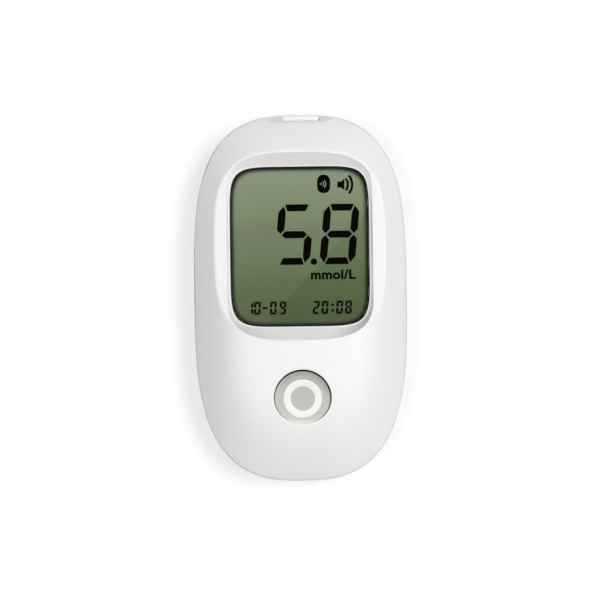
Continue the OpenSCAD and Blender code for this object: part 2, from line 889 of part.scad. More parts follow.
module strip_port() {
    color("#f0f1f0")
    difference() {
        union() {
            block(tunnel_w, port_back_y, scoop_y + tunnel_out, port_base, tunnel_top);
            block(tunnel_w + 2 * port_flange, port_back_y, scoop_y - port_wall - slide, port_base,
                slot_z + slot_h);
            intersection() {
                translate([0, 0, port_base])
                    linear_extrude(slot_z - port_base)
                        polygon(body_outline(air));
                union() {
                    block(scoop_w - 2 * fit, scoop_y + scoop_corner, scoop_y + over, 0, slot_z - fit);
                    block(scoop_w - 2 * scoop_corner - 2 * fit, scoop_y + fit, scoop_y + over, 0,
                        slot_z - fit);
                    block(strip_ledge_w, scoop_y + fit, scoop_y + scoop_l - ledge_back, 0, slot_z);
                }
            }
        }
        block(slot_w, port_back_y - over, scoop_y + tunnel_out + air, slot_z, slot_z + slot_h);
    }
}

module blade_places() {
    for (k = [0:contact_count - 1])
        translate([(k - (contact_count - 1) / 2) * contact_pitch, connector_y, 0])
            children();
}

module strip_blade() {
    translate([-contact_w / 2, -contact_t, slot_z + slot_h])
        cube([contact_w, connector_l - connector_wall, contact_t]);
    translate([-contact_w / 2, -contact_t, board_top])
        cube([contact_w, contact_t, slot_z + slot_h - board_top]);
}

module strip_connector() {
    color("#e9e4d6")
    difference() {
        block(connector_w, connector_y, connector_y + connector_l, board_top,
            slot_z + slot_h + connector_roof);
        block(slot_w, connector_y + connector_wall, connector_y + over, slot_z, slot_z + slot_h);
        blade_places()
            strip_blade();
    }
}

module strip_contacts() {
    color("#d9b45a")
    blade_places()
        strip_blade();
}

// ---- Loudspeaker ----

module speaker_frame() {
    r = speaker_d / 2;
    top = speaker_z + speaker_h;
    color("#4a4d50")
    difference() {
        post([0, speaker_y], r, speaker_z, top);
        post([0, speaker_y], r - speaker_wall, 0, top - speaker_plate_t);
        post([0, speaker_y], magnet_d / 2 + hair, 0, top + over);
    }
}

module speaker_magnet() {
    back = speaker_z + speaker_h;
    color("#9fa3a6")
    post([0, speaker_y], magnet_d / 2, back - magnet_in, back + magnet_out);
}

module speaker_cone() {
    r = speaker_d / 2 - speaker_wall - hair;
    crest = magnet_d / 3;
    low = [[0, cone_mid], [crest, cone_rise], [crest + cone_rim, cone_rise], [r - cone_rim, cone_t],
        [r, cone_t]];
    top = [for (k = [len(low) - 1:-1:0]) low[k] + [0, cone_t]];
    color("#2c2d2f")
    translate([0, speaker_y, speaker_z])
        rotate_extrude()
            polygon(concat(low, top));
}

module speaker_gasket() {
    color("#1d1e1f")
    difference() {
        post([0, speaker_y], speaker_d / 2 - hair, wall, speaker_z);
        post([0, speaker_y], speaker_d / 2 - foam_w, 0, body_t);
    }
}

module speaker_pins() {
    color("#d8c48a")
    for (side = [-1, 1]) {
        place = [side * (speaker_d / 2 - pin_in), speaker_y];
        post(place, pin_d / 2, speaker_z + speaker_h, board_z);
        post(place, pin_d / 2 + pin_collar, speaker_z + speaker_h, board_z - pin_tip);
    }
}

// ---- Cells and contacts ----

cell_cap_h = 0.3;
cell_cap_in = 1.1;

module coin_cell(y) {
    color("#c9ccd0") {
        post([0, y], cell_d / 2, cell_z, cell_top - cell_cap_h);
        post([0, y], cell_d / 2 - cell_cap_in, cell_top - cell_cap_h, cell_top);
    }
}

module upper_coin_cell() {
    coin_cell(upper_cell_y);
}

module lower_coin_cell() {
    coin_cell(lower_cell_y);
}

spring_t = 0.25;
spring_l = 8;
spring_w = 4;
spring_bump_r = 1;
tail_w = 2;

module spring_tail(gap) {
    translate([-spring_l / 2 - gap, -tail_w / 2 - gap, roof_z - gap])
        cube([spring_t + 2 * gap, tail_w + 2 * gap, board_z - roof_z + gap]);
}

module cell_spring_contacts() {
    color("#d0d3d6")
    for (y = [upper_cell_y, lower_cell_y])
        translate([0, y, 0]) {
            translate([-spring_l / 2, -spring_w / 2, roof_z - spring_t])
                cube([spring_l, spring_w, spring_t]);
            translate([spring_l / 4, 0, cell_top])
                cylinder(r = spring_bump_r, h = roof_z - spring_t - cell_top);
            spring_tail(0);
        }
}

side_contact_t = 0.3;
side_contact_l = 5;
side_contact_up = 0.4;

module side_plate(gap) {
    translate([cell_d / 2 - gap, -side_contact_l / 2 - gap, cell_z + side_contact_up - gap])
        cube([side_contact_t + 2 * gap, side_contact_l + 2 * gap, cell_h - side_contact_up + 2 * gap]);
}

module side_tail(gap) {
    translate([cell_d / 2 - gap, -tail_w / 2 - gap, cell_top - gap])
        cube([side_contact_t + 2 * gap, tail_w + 2 * gap, board_z - cell_top + gap]);
}

module cell_side_contacts() {
    color("#d0d3d6")
    for (y = [upper_cell_y, lower_cell_y])
        translate([0, y, 0]) {
            side_plate(0);
            side_tail(0);
        }
}

// ---- Fasteners and label ----

cross_share = 0.6;    // of the screw head's width
cross_deep = 0.7;

module cross_recess(head_d, z) {
    w = head_d * cross_share;
    for (a = [0, 90])
        rotate(a)
            translate([-w / 2, -w / 10, z])
                cube([w, w / 5, cross_deep]);
}

module housing_screws() {
    color("#b9bcc0")
    for (place = boss_places)
        translate([place[0], place[1], head_seat - head_h])
            difference() {
                union() {
                    cylinder(d = screw_head_d, h = head_h);
                    cylinder(d = screw_d, h = head_h + screw_l);
                }
                cross_recess(screw_head_d, -hair);
            }
}

module board_screws() {
    color("#b9bcc0")
    for (place = board_places)
        translate([place[0], place[1], board_top])
            difference() {
                union() {
                    cylinder(d = board_screw_head_d, h = board_screw_head_h);
                    translate([0, 0, -board_screw_l])
                        cylinder(d = board_screw_d, h = board_screw_l + board_screw_head_h);
                }
                cross_recess(board_screw_head_d, board_screw_head_h - cross_deep + hair);
            }
}

module rating_label() {
    color("#dfe1e3")
    block(label_w, label_y - label_l / 2, label_y + label_l / 2, label_deep - label_t, label_deep);
}

front_housing();
rear_housing();
battery_door();
display_window();
window_gasket();
lcd_polarizer();
lcd_front_glass();
lcd_rear_glass();
lcd_reflector();
lcd_frame();
zebra_connector();
main_board();
microcontroller();
wireless_module();
chip_components();
tact_switch();
switch_plunger();
button_cap();
button_ring();
strip_port();
strip_connector();
strip_contacts();
speaker_frame();
speaker_magnet();
speaker_cone();
speaker_gasket();
speaker_pins();
upper_coin_cell();
lower_coin_cell();
cell_spring_contacts();
cell_side_contacts();
housing_screws();
board_screws();
rating_label();
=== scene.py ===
import math

import bmesh
import bpy
import numpy as np
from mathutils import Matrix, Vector


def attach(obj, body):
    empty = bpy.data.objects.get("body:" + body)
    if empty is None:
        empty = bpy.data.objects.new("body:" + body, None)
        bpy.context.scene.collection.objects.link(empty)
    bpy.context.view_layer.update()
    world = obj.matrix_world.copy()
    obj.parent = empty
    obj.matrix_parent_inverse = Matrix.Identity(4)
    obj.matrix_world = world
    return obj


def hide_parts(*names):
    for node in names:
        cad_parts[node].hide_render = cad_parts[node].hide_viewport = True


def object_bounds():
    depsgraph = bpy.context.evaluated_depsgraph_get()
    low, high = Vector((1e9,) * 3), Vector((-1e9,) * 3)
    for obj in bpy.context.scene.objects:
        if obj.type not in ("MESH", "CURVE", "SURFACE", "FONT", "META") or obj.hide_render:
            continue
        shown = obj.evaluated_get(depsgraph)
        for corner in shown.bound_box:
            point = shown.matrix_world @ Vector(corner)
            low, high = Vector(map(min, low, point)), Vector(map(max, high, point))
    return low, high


# Blood glucose meter on its back: +Z out of the display, +Y to the strip end.
# Lengths below are millimetres and are turned to metres when a mesh is made.

mm = 0.001
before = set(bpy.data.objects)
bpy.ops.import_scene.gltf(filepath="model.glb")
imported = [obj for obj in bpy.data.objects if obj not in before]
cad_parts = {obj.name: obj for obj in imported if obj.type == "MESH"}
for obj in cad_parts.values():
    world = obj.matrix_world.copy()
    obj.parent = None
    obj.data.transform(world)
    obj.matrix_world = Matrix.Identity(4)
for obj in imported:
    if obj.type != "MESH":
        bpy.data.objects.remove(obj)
cadLow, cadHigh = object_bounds()
print("frame loaded:", len(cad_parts), "nodes")


def linear(hexColour):
    parts = [int(hexColour[i:i + 2], 16) / 255 for i in (1, 3, 5)]
    return [c / 12.92 if c <= 0.04045 else ((c + 0.055) / 1.055) ** 2.4 for c in parts] + [1]


# Sockets go by name, or by place as i0, i1 and on. A value may be a socket, a node or a #rrggbb colour
def addNode(tree, kind, settings=None, **inputs):
    node = tree.nodes.new(kind)
    for key, value in (settings or {}).items():
        setattr(node, key, value)
    for key, value in inputs.items():
        socket = node.inputs[int(key[1:])] if key[1:].isdigit() else node.inputs[key.replace("_", " ")]
        if isinstance(value, bpy.types.Node):
            value = value.outputs[0]
        if isinstance(value, bpy.types.NodeSocket):
            tree.links.new(value, socket)
        else:
            socket.default_value = linear(value) if isinstance(value, str) else value
    return node


def calc(tree, operation, *values):
    inputs = {f"i{k}": value for k, value in enumerate(values)}
    return addNode(tree, "ShaderNodeMath", {"operation": operation}, **inputs)


def linkObject(name, data):
    piece = bpy.data.objects.new(name, data)
    bpy.context.scene.collection.objects.link(piece)
    return piece


def fromPydata(name, points, faces):
    mesh = bpy.data.meshes.new(name)
    mesh.from_pydata([tuple(p) for p in np.asarray(points) * mm], [], faces)
    mesh.update()
    return linkObject(name, mesh)


# Skin through rings of points, capped at both ends, or with its last ring joined to the first
def ringPiece(name, rings, closed=False):
    count = len(rings[0])
    last = len(rings) if closed else len(rings) - 1
    faces = []
    for k in range(last):
        here, there = k * count, (k + 1) % len(rings) * count
        for i in range(count):
            j = (i + 1) % count
            faces.append((here + i, here + j, there + j, there + i))
    if not closed:
        faces.append(tuple(range(count - 1, -1, -1)))
        faces.append(tuple((len(rings) - 1) * count + i for i in range(count)))
    piece = fromPydata(name, np.vstack(rings), faces)
    faceOutwards(piece)
    return piece


def faceOutwards(piece):
    work = bmesh.new()
    work.from_mesh(piece.data)
    bmesh.ops.remove_doubles(work, verts=work.verts, dist=1e-7)
    bmesh.ops.recalc_face_normals(work, faces=work.faces)
    work.to_mesh(piece.data)
    work.free()


# The piece's mesh as its modifiers leave it
def finalMesh(piece):
    graph = bpy.context.evaluated_depsgraph_get()
    return bpy.data.meshes.new_from_object(piece.evaluated_get(graph))


def bakeModifiers(piece):
    mesh = finalMesh(piece)
    piece.modifiers.clear()
    piece.data = mesh


def carve(piece, tools, operation="DIFFERENCE"):
    for tool in tools:
        step = piece.modifiers.new("carve", "BOOLEAN")
        step.object = tool
        step.operation = operation
        step.solver = "MANIFOLD"
    bakeModifiers(piece)
    for tool in tools:
        bpy.data.objects.remove(tool)


def level(points, z):
    return np.column_stack([points, np.full(len(points), z) if np.isscalar(z) else z])


def rectangle(width, yLow, yHigh, xMiddle=0, grow=0):
    left, right = xMiddle - width / 2 - grow, xMiddle + width / 2 + grow
    near, far = yLow - grow, yHigh + grow
    return np.array([(left, near), (right, near), (right, far), (left, far)])


# Cutters and raw blocks run on past what they meet, to round numbers that set no size
def box(width, yLow, yHigh, zLow, zHigh, xMiddle=0):
    flat = rectangle(width, yLow, yHigh, xMiddle)
    return ringPiece("tool", [level(flat, zHigh), level(flat, zLow)])


# A box that widens by soft where it meets the back face
def flaredBox(width, yLow, yHigh, zHigh, soft):
    flat, wide = rectangle(width, yLow, yHigh), rectangle(width, yLow, yHigh, 0, soft)
    return ringPiece("tool", [level(flat, zHigh), level(flat, soft), level(wide, 0), level(wide, -2)])


# A box with a rounded top edge
def softBox(width, yLow, yHigh, zLow, zHigh, soft, xMiddle=0):
    rings = []
    for a in quarter(4):
        flat = rectangle(width, yLow, yHigh, xMiddle, -soft * (1 - math.sin(a)))
        rings.append(level(flat, zHigh - soft * (1 - math.cos(a))))
    return ringPiece("tool", rings + [level(rectangle(width, yLow, yHigh, xMiddle), zLow)])


# Angles of a rounded edge, from 0 to 90 degrees
def quarter(count):
    return [math.pi / 2 * k / (count - 1) for k in range(count)]


def turns(count):
    return np.arange(count) * 2 * math.pi / count


def circle(x, y, radius, count=96):
    a = turns(count)
    return np.column_stack([x + radius * np.cos(a), y + radius * np.sin(a)])


def turned(x, y, profile, count=96):
    return ringPiece("tool", [level(circle(x, y, max(r, 1e-4), count), z) for r, z in profile])


def peg(place, radius, top, bottom, count=48):
    return turned(*place, [(radius, top), (radius, bottom)], count)


body = {
    "wall": 1.8,
    "partingHeight": 8.7,
    "edgeLip": 1.2,
    "shoulderIn": 9,
    "shoulderSoft": 6,
    "crownRound": 2.7,
    "sideSquare": 2.75,
    "stripEndSquare": 3.55,
    "buttonEndSquare": 3.15,
    "rabbetHeight": 9.65,
    "rabbetIn": 1.0,
    "bossDrop": 0.6,
    "guideDrop": 0.4,
    "fromParting": 0.02,
    "tongueHeight": 0.8,
    "tongueIn": 1.15,
    "backRoundSide": 7.8,
    "backRoundEnd": 13.5,
    "pointsRound": 288,
}
halfWidth = cadHigh.x / mm
halfLength = cadHigh.y / mm
bodyTop = 20
rimHeight = body["partingHeight"] + body["edgeLip"]

display = {
    "middle": 13.6,
    "sink": 6.1,
    "tilt": 3,
    "windowWidth": 36.7,
    "windowShift": (-0.05, -0.1),
    "windowLength": 42.1,
    "sideSquare": 6.2,
    "topSquare": 7.2,
    "bottomSquare": 6.9,
    "lipRound": 0.2,
    "recess": 0.3,
    "recessEnd": 1.55,
    "recessAlong": (12.5, 20.5),
    "recessAcross": (16.5, 6),
    "seat": 1.4,
    "seatWide": 1.3,
    "dishWidth": 44.8,
    "dishLength": 50.2,
    "dishSquare": 3.4,
    "creaseWidth": 38.7,
    "creaseSoft": 1.0,
    "creaseTaper": 0.24,
    "taperFrom": -2.8,
    "crescentSlope": 3,
    "dishEdge": 0.985,
    "edgeSoft": 0.06,
}
windowFace = bodyTop - display["sink"]


def bend(value, power):
    return np.sign(value) * np.abs(value) ** power


def evenTurn(count):
    a = turns(count)
    return np.arctan2(bend(np.sin(a), 1.5), bend(np.cos(a), 1.5))


def oval(halfWide, halfLong, sides, strip, near):
    t = evenTurn(body["pointsRound"])
    square = np.where(np.sin(t) < 0, near, strip)
    return np.column_stack([halfWide * bend(np.cos(t), 2 / sides), halfLong * bend(np.sin(t), 2 / square)])


def bodyOutline(inset, endInset=None):
    endInset = inset if endInset is None else endInset
    return oval(halfWidth - inset, halfLength - endInset, body["sideSquare"], body["stripEndSquare"],
                body["buttonEndSquare"])


# Rings of the outline, given as (inset, height)
def bodyRings(*profile):
    return [level(bodyOutline(inset), z) for inset, z in profile]


def windowOutline(grow):
    flat = oval(display["windowWidth"] / 2 + grow, display["windowLength"] / 2 + grow,
                display["sideSquare"], display["topSquare"], display["bottomSquare"])
    return flat + display["windowShift"]


# The same outline where it lies on the body
def windowHole(grow):
    return windowOutline(grow) + [0, display["middle"]]


def dishOutline(scale=1):
    n = display["dishSquare"]
    flat = oval(display["dishWidth"] / 2 * scale, display["dishLength"] / 2 * scale, n, n, n)
    return flat + [0, display["middle"]]


def creaseOutline():
    flat = dishOutline(display["dishEdge"])
    below = np.maximum(display["taperFrom"] - flat[:, 1], 0)
    half = display["creaseWidth"] / 2 - display["creaseTaper"] * below
    wide = np.abs(flat[:, 0])
    inner = (wide + half - np.sqrt((wide - half) ** 2 + display["creaseSoft"] ** 2)) / 2
    flat[:, 0] = np.sign(flat[:, 0]) * np.maximum(inner, 0)
    return flat


def reach(p):
    square = np.where(p[:, 1] < 0, body["buttonEndSquare"], body["stripEndSquare"])
    total = np.abs(p[:, 0] / halfWidth) ** body["sideSquare"] + np.abs(p[:, 1] / halfLength) ** square
    return total ** (1 / body["crownRound"])


shoulder = 1 - body["shoulderIn"] / halfWidth
shoulderSoft = body["shoulderSoft"] / halfWidth


def fall(r):
    return (r - shoulder + np.sqrt((r - shoulder) ** 2 + shoulderSoft ** 2)) / 2


# Height of the crowned face
def crown(p):
    p = np.atleast_2d(p)
    scale = (bodyTop - rimHeight) / (fall(1) - fall(0))
    return bodyTop - scale * (fall(reach(p)) - fall(0))


def onCrown(flat, drop=0):
    return level(flat, crown(flat) - drop)


def windowPlane(y):
    return windowFace - (y - display["middle"]) * math.tan(math.radians(display["tilt"]))


def mix(a, b, amount):
    return a + (b - a) * amount


def smooth(value, start, end):
    t = np.clip((value - start) / (end - start), 0, 1)
    return t * t * (3 - 2 * t)


# The shell stands over the window by a hair, and by more at its button end, where the bevel is flatter
def shellOverWindow(flat):
    along = smooth(display["middle"] - flat[:, 1], *display["recessAlong"])
    across = smooth(np.abs(flat[:, 0]), *display["recessAcross"])
    return windowPlane(flat[:, 1]) + mix(display["recess"], display["recessEnd"], along * across)


# From the display window's own plane to the body
def intoWindow(points):
    t = math.radians(-display["tilt"])
    x, y, z = points[:, 0], points[:, 1], points[:, 2]
    return np.column_stack([x, display["middle"] + y * math.cos(t) - z * math.sin(t),
                            windowFace + y * math.sin(t) + z * math.cos(t)])


button = {
    "fromEnd": 21.7,
    "hole": 15.3,
    "aside": 0.25,  # to the right of the middle
    "gapNarrow": 0.02,
    "gapWide": 0.46,
    "gapTurn": 76,
    "holeRound": 0.08,
    "lipIn": 1.05,
    "lipWide": 0.9,
    "lipDeep": 0.35,
    "lipStart": 35,
    "guideWall": 1.1,
    "guideBottom": 13.5,
    "tilt": 6.5,
    "sink": 0.45,
    "dishRadius": 60,
    "capRound": 0.3,
    "capRoundNear": 0.08,
    "flangeWidth": 0.95,
    "flangeThick": 0.7,
    "play": 0.2,
    "wallThick": 1.4,
    "faceThick": 1.8,
    "stemRadius": 2.5,
    "stemEnd": 12.14,
    "ringOuter": 10.2,
    "ringInner": 6.3,
    "ringDeep": 0.5,
}
buttonY = button["fromEnd"] - halfLength
holeRadius = button["hole"] / 2


# 1 at the turn given in degrees, 0 opposite to it
def facing(turn, towards, power=1.0):
    return ((1 + np.cos(turn - math.radians(towards))) / 2) ** power


# The opening is round but for its near edge, where the shell dips softly to the cap
def holeEdge(turn):
    return holeRadius - button["lipIn"] * facing(turn, -90, 4)


# The cap leans to its near edge, so the gap is widest beyond it
def capEdge(turn):
    gap = mix(button["gapNarrow"], button["gapWide"], facing(turn, button["gapTurn"], 1.1))
    return holeEdge(turn) - gap


def capRound(turn):
    return mix(button["capRound"], button["capRoundNear"], facing(turn, -90, 3))


def roundButton(radius, count=144):
    r = radius(turns(count)) if callable(radius) else radius
    return circle(button["aside"], buttonY, r, count)


# Cuts the button's opening and rounds its edge over along the crown, farther at the near lip
def openingCutter():
    loop = roundButton(holeEdge, 160)
    lip = facing(turns(160), -90, 3)[:, None]
    wide, deep = [mix(button["holeRound"], button[key], lip) for key in ("lipWide", "lipDeep")]
    after = np.roll(loop, -1, axis=0) - np.roll(loop, 1, axis=0)
    outward = np.column_stack([after[:, 1], -after[:, 0]]) / np.linalg.norm(after, axis=1)[:, None] * wide
    start = np.radians(button["lipStart"] * lip)
    rings = [level(loop, 12)]
    for k in range(7):
        a = start + (math.pi / 2 - start) * k / 6
        drop = deep * (1 - np.sin(a))
        rings.append(onCrown(loop + outward * (1 - np.cos(a) / np.cos(start)), drop[:, 0]))
    flat = loop + outward * 1.3
    return ringPiece("tool", rings + [onCrown(flat, -0.05), level(flat, 30)])


port = {
    "scoopWidth": 17.7,
    "scoopDepth": 2.5,
    "smileEdge": 2.1,
    "smileFlat": 6,
    "smileRise": 0.13,
    "smileSteep": 0.6,
    "smileSoft": 0.14,
    "smileHalf": 11.5,
    "smileFrom": 3.2,
    "smileTo": 1.2,
    "aside": 0.6,  # to the right of the middle
    "mouthWidth": 9.45,
    "mouthFlare": 0.6,
    "flareHeight": 1.2,
    "mouthWall": 1.55,
    "noseLong": 0.7,
    "noseTop": 10.2,
    "side": 1.5,
    "wall": 1.8,
    "tunnelWidth": 11,
    "tunnelTop": 10.5,
    "backFace": 42.35,
    "slotWidth": 8.2,
    "slotFloor": 9.2,
    "slotHeight": 0.8,
    "flangeWide": 3,
    "flangeLong": 1.35,
    "ledgeBack": 0.6,
    "deckEdge": ((0.62, 0.12), (0.42, 0.16), (0.2, 0.27)),  # inwards from the outline and down
}

screws = {
    "boss": 5.6,
    "thread": 2,
    "boardHole": 1.9,
    "boardHoleLow": 3.2,
    "head": 3.8,
    "seat": 4.4,
    "length": 7,
    "stripPair": (13.5, 40.4),
    "buttonPair": (18, -30),
}
bossPlaces = [(side * x, y) for x, y in (screws["stripPair"], screws["buttonPair"]) for side in (1, -1)]


# The scoop over the strip mouth: a soft smile in the crown that falls faster than the crown does
def smileCutter():
    rings = []
    across = np.linspace(-port["smileHalf"], port["smileHalf"], 93)
    for y in np.linspace(halfLength - port["smileFrom"], halfLength + port["smileTo"], 34):
        flat = np.column_stack([across, np.full(len(across), y)])
        bow = np.maximum(np.abs(across) - port["smileFlat"], 0)
        start = halfLength - port["smileEdge"] + port["smileRise"] * bow ** 2
        inside = (y - start) / np.sqrt(1 + (2 * port["smileRise"] * bow) ** 2)
        fallOff = (inside + np.sqrt(inside ** 2 + port["smileSoft"] ** 2)) / 2
        rings.append(np.vstack([onCrown(flat, port["smileSteep"] * fallOff - 0.02), level(flat[::-1], 30)]))
    return ringPiece("tool", rings)


# The strip mouth, whose right wall leans out so that no deep corner stands there
def mouthCutter(mouthY):
    left, right = [port["aside"] + side * port["mouthWidth"] / 2 for side in (-1, 1)]
    low, flared = port["slotFloor"] + 0.05, right + port["mouthFlare"]
    outline = [(left, -5), (right, -5), (right, low), (flared, port["slotFloor"] + port["flareHeight"]),
               (flared, 30), (left - 0.1, 30), (left, low)]
    return ringPiece("tool", [np.array([(x, y, z) for x, z in outline]) for y in (mouthY, halfLength + 30)])


# Skin of the front shell, out from the window to the rim and back along the inside
def frontSkin():
    wall, part, rabbet = body["wall"], body["partingHeight"], body["rabbetHeight"]
    dish, crease = dishOutline(), creaseOutline()
    lift = np.linalg.norm(dish - crease, axis=1) * math.tan(math.radians(display["crescentSlope"]))
    dishZ = crown(dish)
    creaseZ = dishZ + lift
    rings, edge = [], display["lipRound"]
    for a in quarter(4):  # the rounded lip at the window
        flat = windowHole(edge * (1 - math.cos(a)))
        rings.append(level(flat, shellOverWindow(flat) - edge * (1 - math.sin(a))))
    land = windowHole(edge + 0.05)
    landZ = shellOverWindow(land)
    for s in (0, 0.1, 0.25, 0.4, 0.55, 0.7, 0.85, 0.95):  # the bevel up to the crease
        rings.append(level(mix(land, crease, s), mix(landZ, creaseZ, s)))
    for s in (0, 0.12, 0.3, 0.5, 0.7, 0.88):  # the crescents
        rings.append(level(mix(crease, dish, s), mix(creaseZ, dishZ, s) - lift * 0.5 * s * (1 - s)))
    for s in (0, 0.03, 0.07, 0.12, 0.18, 0.24, 0.3, 0.36, 0.42, 0.48, 0.54, 0.6, 0.66, 0.72, 0.78, 0.84,
              0.89, 0.93, 0.96, 0.98):  # the crowned face
        rings.append(onCrown(mix(dish, bodyOutline(0), s), display["edgeSoft"] if s == 0 else 0))
    for inset, drop in ((0.3, 0), (0.15, 0.05), (0.05, 0.16), (0, 0.32)):  # the softened rim
        rings.append(onCrown(bodyOutline(inset), drop))
    inset = body["rabbetIn"]
    rings += bodyRings((0, part + 0.15), (0.12, part), (inset, part), (inset, rabbet))
    for s in (1, 0.84, 0.7, 0.56, 0.42, 0.28, 0.14, 0):  # the inside
        flat = mix(dish, bodyOutline(wall), s)
        rings.append(level(flat, np.maximum(crown(flat) - wall, rabbet + 0.15 * (s < 1))))
    for flat in (windowHole(display["seatWide"]), windowHole(0)):
        rings.append(level(flat, windowPlane(flat[:, 1]) - display["seat"] + display["recess"]))
    return ringPiece("frontShell", rings, closed=True)


def frontShell():
    part, shell = body["partingHeight"], frontSkin()
    low = part + body["fromParting"]
    guide = peg((button["aside"], buttonY), holeRadius + button["guideWall"], 21, button["guideBottom"], 96)
    block = box(port["scoopWidth"] + 2 * port["side"], halfLength - port["scoopDepth"] - port["wall"],
                halfLength + 2, low, 20)
    bosses = [peg(place, screws["boss"] / 2, 18, low) for place in bossPlaces]
    for solids, drop in ((bosses, body["bossDrop"]), ((guide, block), body["guideDrop"])):
        for solid in solids:
            carve(solid, [underCrown(drop)], "INTERSECT")
            carve(shell, [solid], "UNION")
    mouthY = halfLength - port["mouthWall"]
    nose = box(port["mouthWidth"], mouthY - port["noseLong"] - 0.1, mouthY + 0.1,
               -5, port["noseTop"] + 0.05, port["aside"])
    tunnel = box(port["tunnelWidth"] + 0.3, port["backFace"], mouthY - port["noseLong"], -5,
                 port["tunnelTop"] + 0.15, port["aside"])
    carve(shell, [openingCutter(), smileCutter(), mouthCutter(mouthY), nose, tunnel])
    top = screws["seat"] + screws["length"] + 0.3
    carve(shell, [peg(place, screws["thread"] / 2 + 0.05, top, 5, 32) for place in bossPlaces])
    return shell


# The outer skin of the front shell, lowered by drop, as a solid
def underCrown(drop):
    rings = []
    for s in (0, 0.15, 0.3, 0.45, 0.6, 0.75, 0.88, 0.97):
        rings.append(onCrown(mix(dishOutline(), bodyOutline(drop), s), drop))
    return ringPiece("tool", rings + bodyRings((drop, rimHeight - drop), (drop, 1)))


# Straight sides of the bay and of the door, shared by both
door = {
    "width": 26,
    "tongue": 0.9,
    "top": 8.0,
    "latch": 1.2,
    "endY": -38.4,
    "endHeight": 5.6,
    "lip": 0.8,
    "gap": 0.2,
    "gripWidth": 12,
    "gripPitch": 1.8,
    "gripTop": -5.55,
    "gripDeep": 0.4,
    "gripCount": 5,
    "ribFrom": -31.6,
    "ribTo": 1.5,
    "ribWide": 1,
    "ribX": 6,
    "ribHeight": 1.95,
}

rear = {
    "bayWidth": 30,
    "bayLow": -37.6,
    "bayTop": 10.4,
    "roof": 5.7,
    "roofThick": 1.0,
    "pocket": 10.3,
    "cellPlaces": (-25.3, -4.5),
    "channel": 12,
    "boardHeight": 7.0,
    "boardPost": 4.4,
    "screwPosts": ((17.6, -12.45), (-17.6, -12.45), (8, 39.45), (-8, 39.45)),
    "plainPosts": ((17.6, 13.6), (-17.6, 13.6)),
    "speakerY": 25.5,
    "speakerCavity": 8.2,
    "speakerRim": 4.3,
    "soundHole": 1.2,
    "soundPitch": 2.6,
    "soundDepth": 4.2,
    "soundFlare": 0.2,
    "labelWidth": 30.3,
    "labelLow": 9.85,
    "labelHigh": 16.15,
    "labelDeep": 0.25,
    # Middle, width, half length, bottom and top of the slots for each cell's contacts
    "contactSlots": ((-3.875, 0.55, 1.15, 5.55, 12), (10.15, 0.6, 2.65, 2.25, 5.35),
                     (10.15, 0.6, 1.15, 5.05, 12)),
}


# The back rounds up from its flat face to the parting line
def rearSkin(inset, floorHeight, top=None):
    part = body["partingHeight"]
    rings = bodyRings((inset, top)) if top else []
    for a in quarter(19)[::-1]:
        s = 1 - math.sin(a)
        flat = bodyOutline(inset + body["backRoundSide"] * s, inset + body["backRoundEnd"] * s)
        rings.append(level(flat, floorHeight + (part - floorHeight) * (1 - math.cos(a))))
    if not top and inset == 0:
        rings[:1] = bodyRings((0.12, part), (0, part - 0.15))  # a small edge at the parting line
    return ringPiece("tool", rings)


# A geometry tree whose named inputs are of the kinds of their values
def newTree(name, sizes):
    tree = bpy.data.node_groups.new(name, "GeometryNodeTree")
    kinds = {float: "Float", int: "Int", tuple: "Vector"}
    for label, value in sizes.items():
        kind = "NodeSocket" + kinds[type(value)]
        tree.interface.new_socket(label, in_out="INPUT", socket_type=kind).default_value = value
    tree.interface.new_socket("Geometry", in_out="OUTPUT", socket_type="NodeSocketGeometry")
    return tree, addNode(tree, "NodeGroupInput").outputs


# Ends a tree in Realize Instances and Set Material, runs it on an empty mesh and keeps a plain mesh
def runTree(tree, instances, sizes):
    real = addNode(tree, "GeometryNodeRealizeInstances", Geometry=instances)
    done = addNode(tree, "GeometryNodeSetMaterial", Geometry=real)
    tree.links.new(done.outputs[0], addNode(tree, "NodeGroupOutput").inputs[0])
    piece = linkObject("tool", bpy.data.meshes.new("tool"))
    step = piece.modifiers.new("nodes", "NODES")
    step.node_group = tree
    for item in tree.interface.items_tree:
        if item.in_out == "INPUT":
            step[item.identifier] = sizes[item.name]
    bakeModifiers(piece)
    return piece


# One hole in the middle, six round it and twelve round those, each flared where it opens on the back
def soundHoles():
    sizes = {"Pitch": rear["soundPitch"] * mm, "Hole radius": rear["soundHole"] / 2 * mm,
             "Depth": rear["soundDepth"] * mm, "Flare": rear["soundFlare"] * mm,
             "Centre": (0, rear["speakerY"] * mm, 0)}
    tree, given = newTree("sound holes", sizes)
    points = addNode(tree, "GeometryNodeJoinGeometry")
    parts = [addNode(tree, "GeometryNodePoints", Count=1)]
    for k in (1, 2):
        ring = addNode(tree, "GeometryNodeMeshCircle", {"fill_type": "NONE"}, Vertices=6 * k,
                       Radius=calc(tree, "MULTIPLY", given["Pitch"], float(k)))
        parts.append(addNode(tree, "GeometryNodeMeshToPoints", Mesh=ring))
    plug = addNode(tree, "GeometryNodeMeshCylinder", Vertices=24, Radius=given["Hole radius"],
                   Depth=given["Depth"])
    wide = calc(tree, "ADD", given["Hole radius"], given["Flare"])
    flare = addNode(tree, "GeometryNodeMeshCone", Vertices=24, Radius_Top=given["Hole radius"],
                    Radius_Bottom=wide, Depth=given["Flare"])
    both = addNode(tree, "GeometryNodeMeshBoolean", {"operation": "UNION", "solver": "MANIFOLD"})
    for target, sources in ((points.inputs[0], parts), (both.inputs[1], (plug, flare))):
        for source in sources:
            tree.links.new(source.outputs[0], target)
    copies = addNode(tree, "GeometryNodeInstanceOnPoints", Points=points, Instance=both)
    moved = addNode(tree, "GeometryNodeTranslateInstances", Instances=copies, Translation=given["Centre"])
    return runTree(tree, moved, sizes)


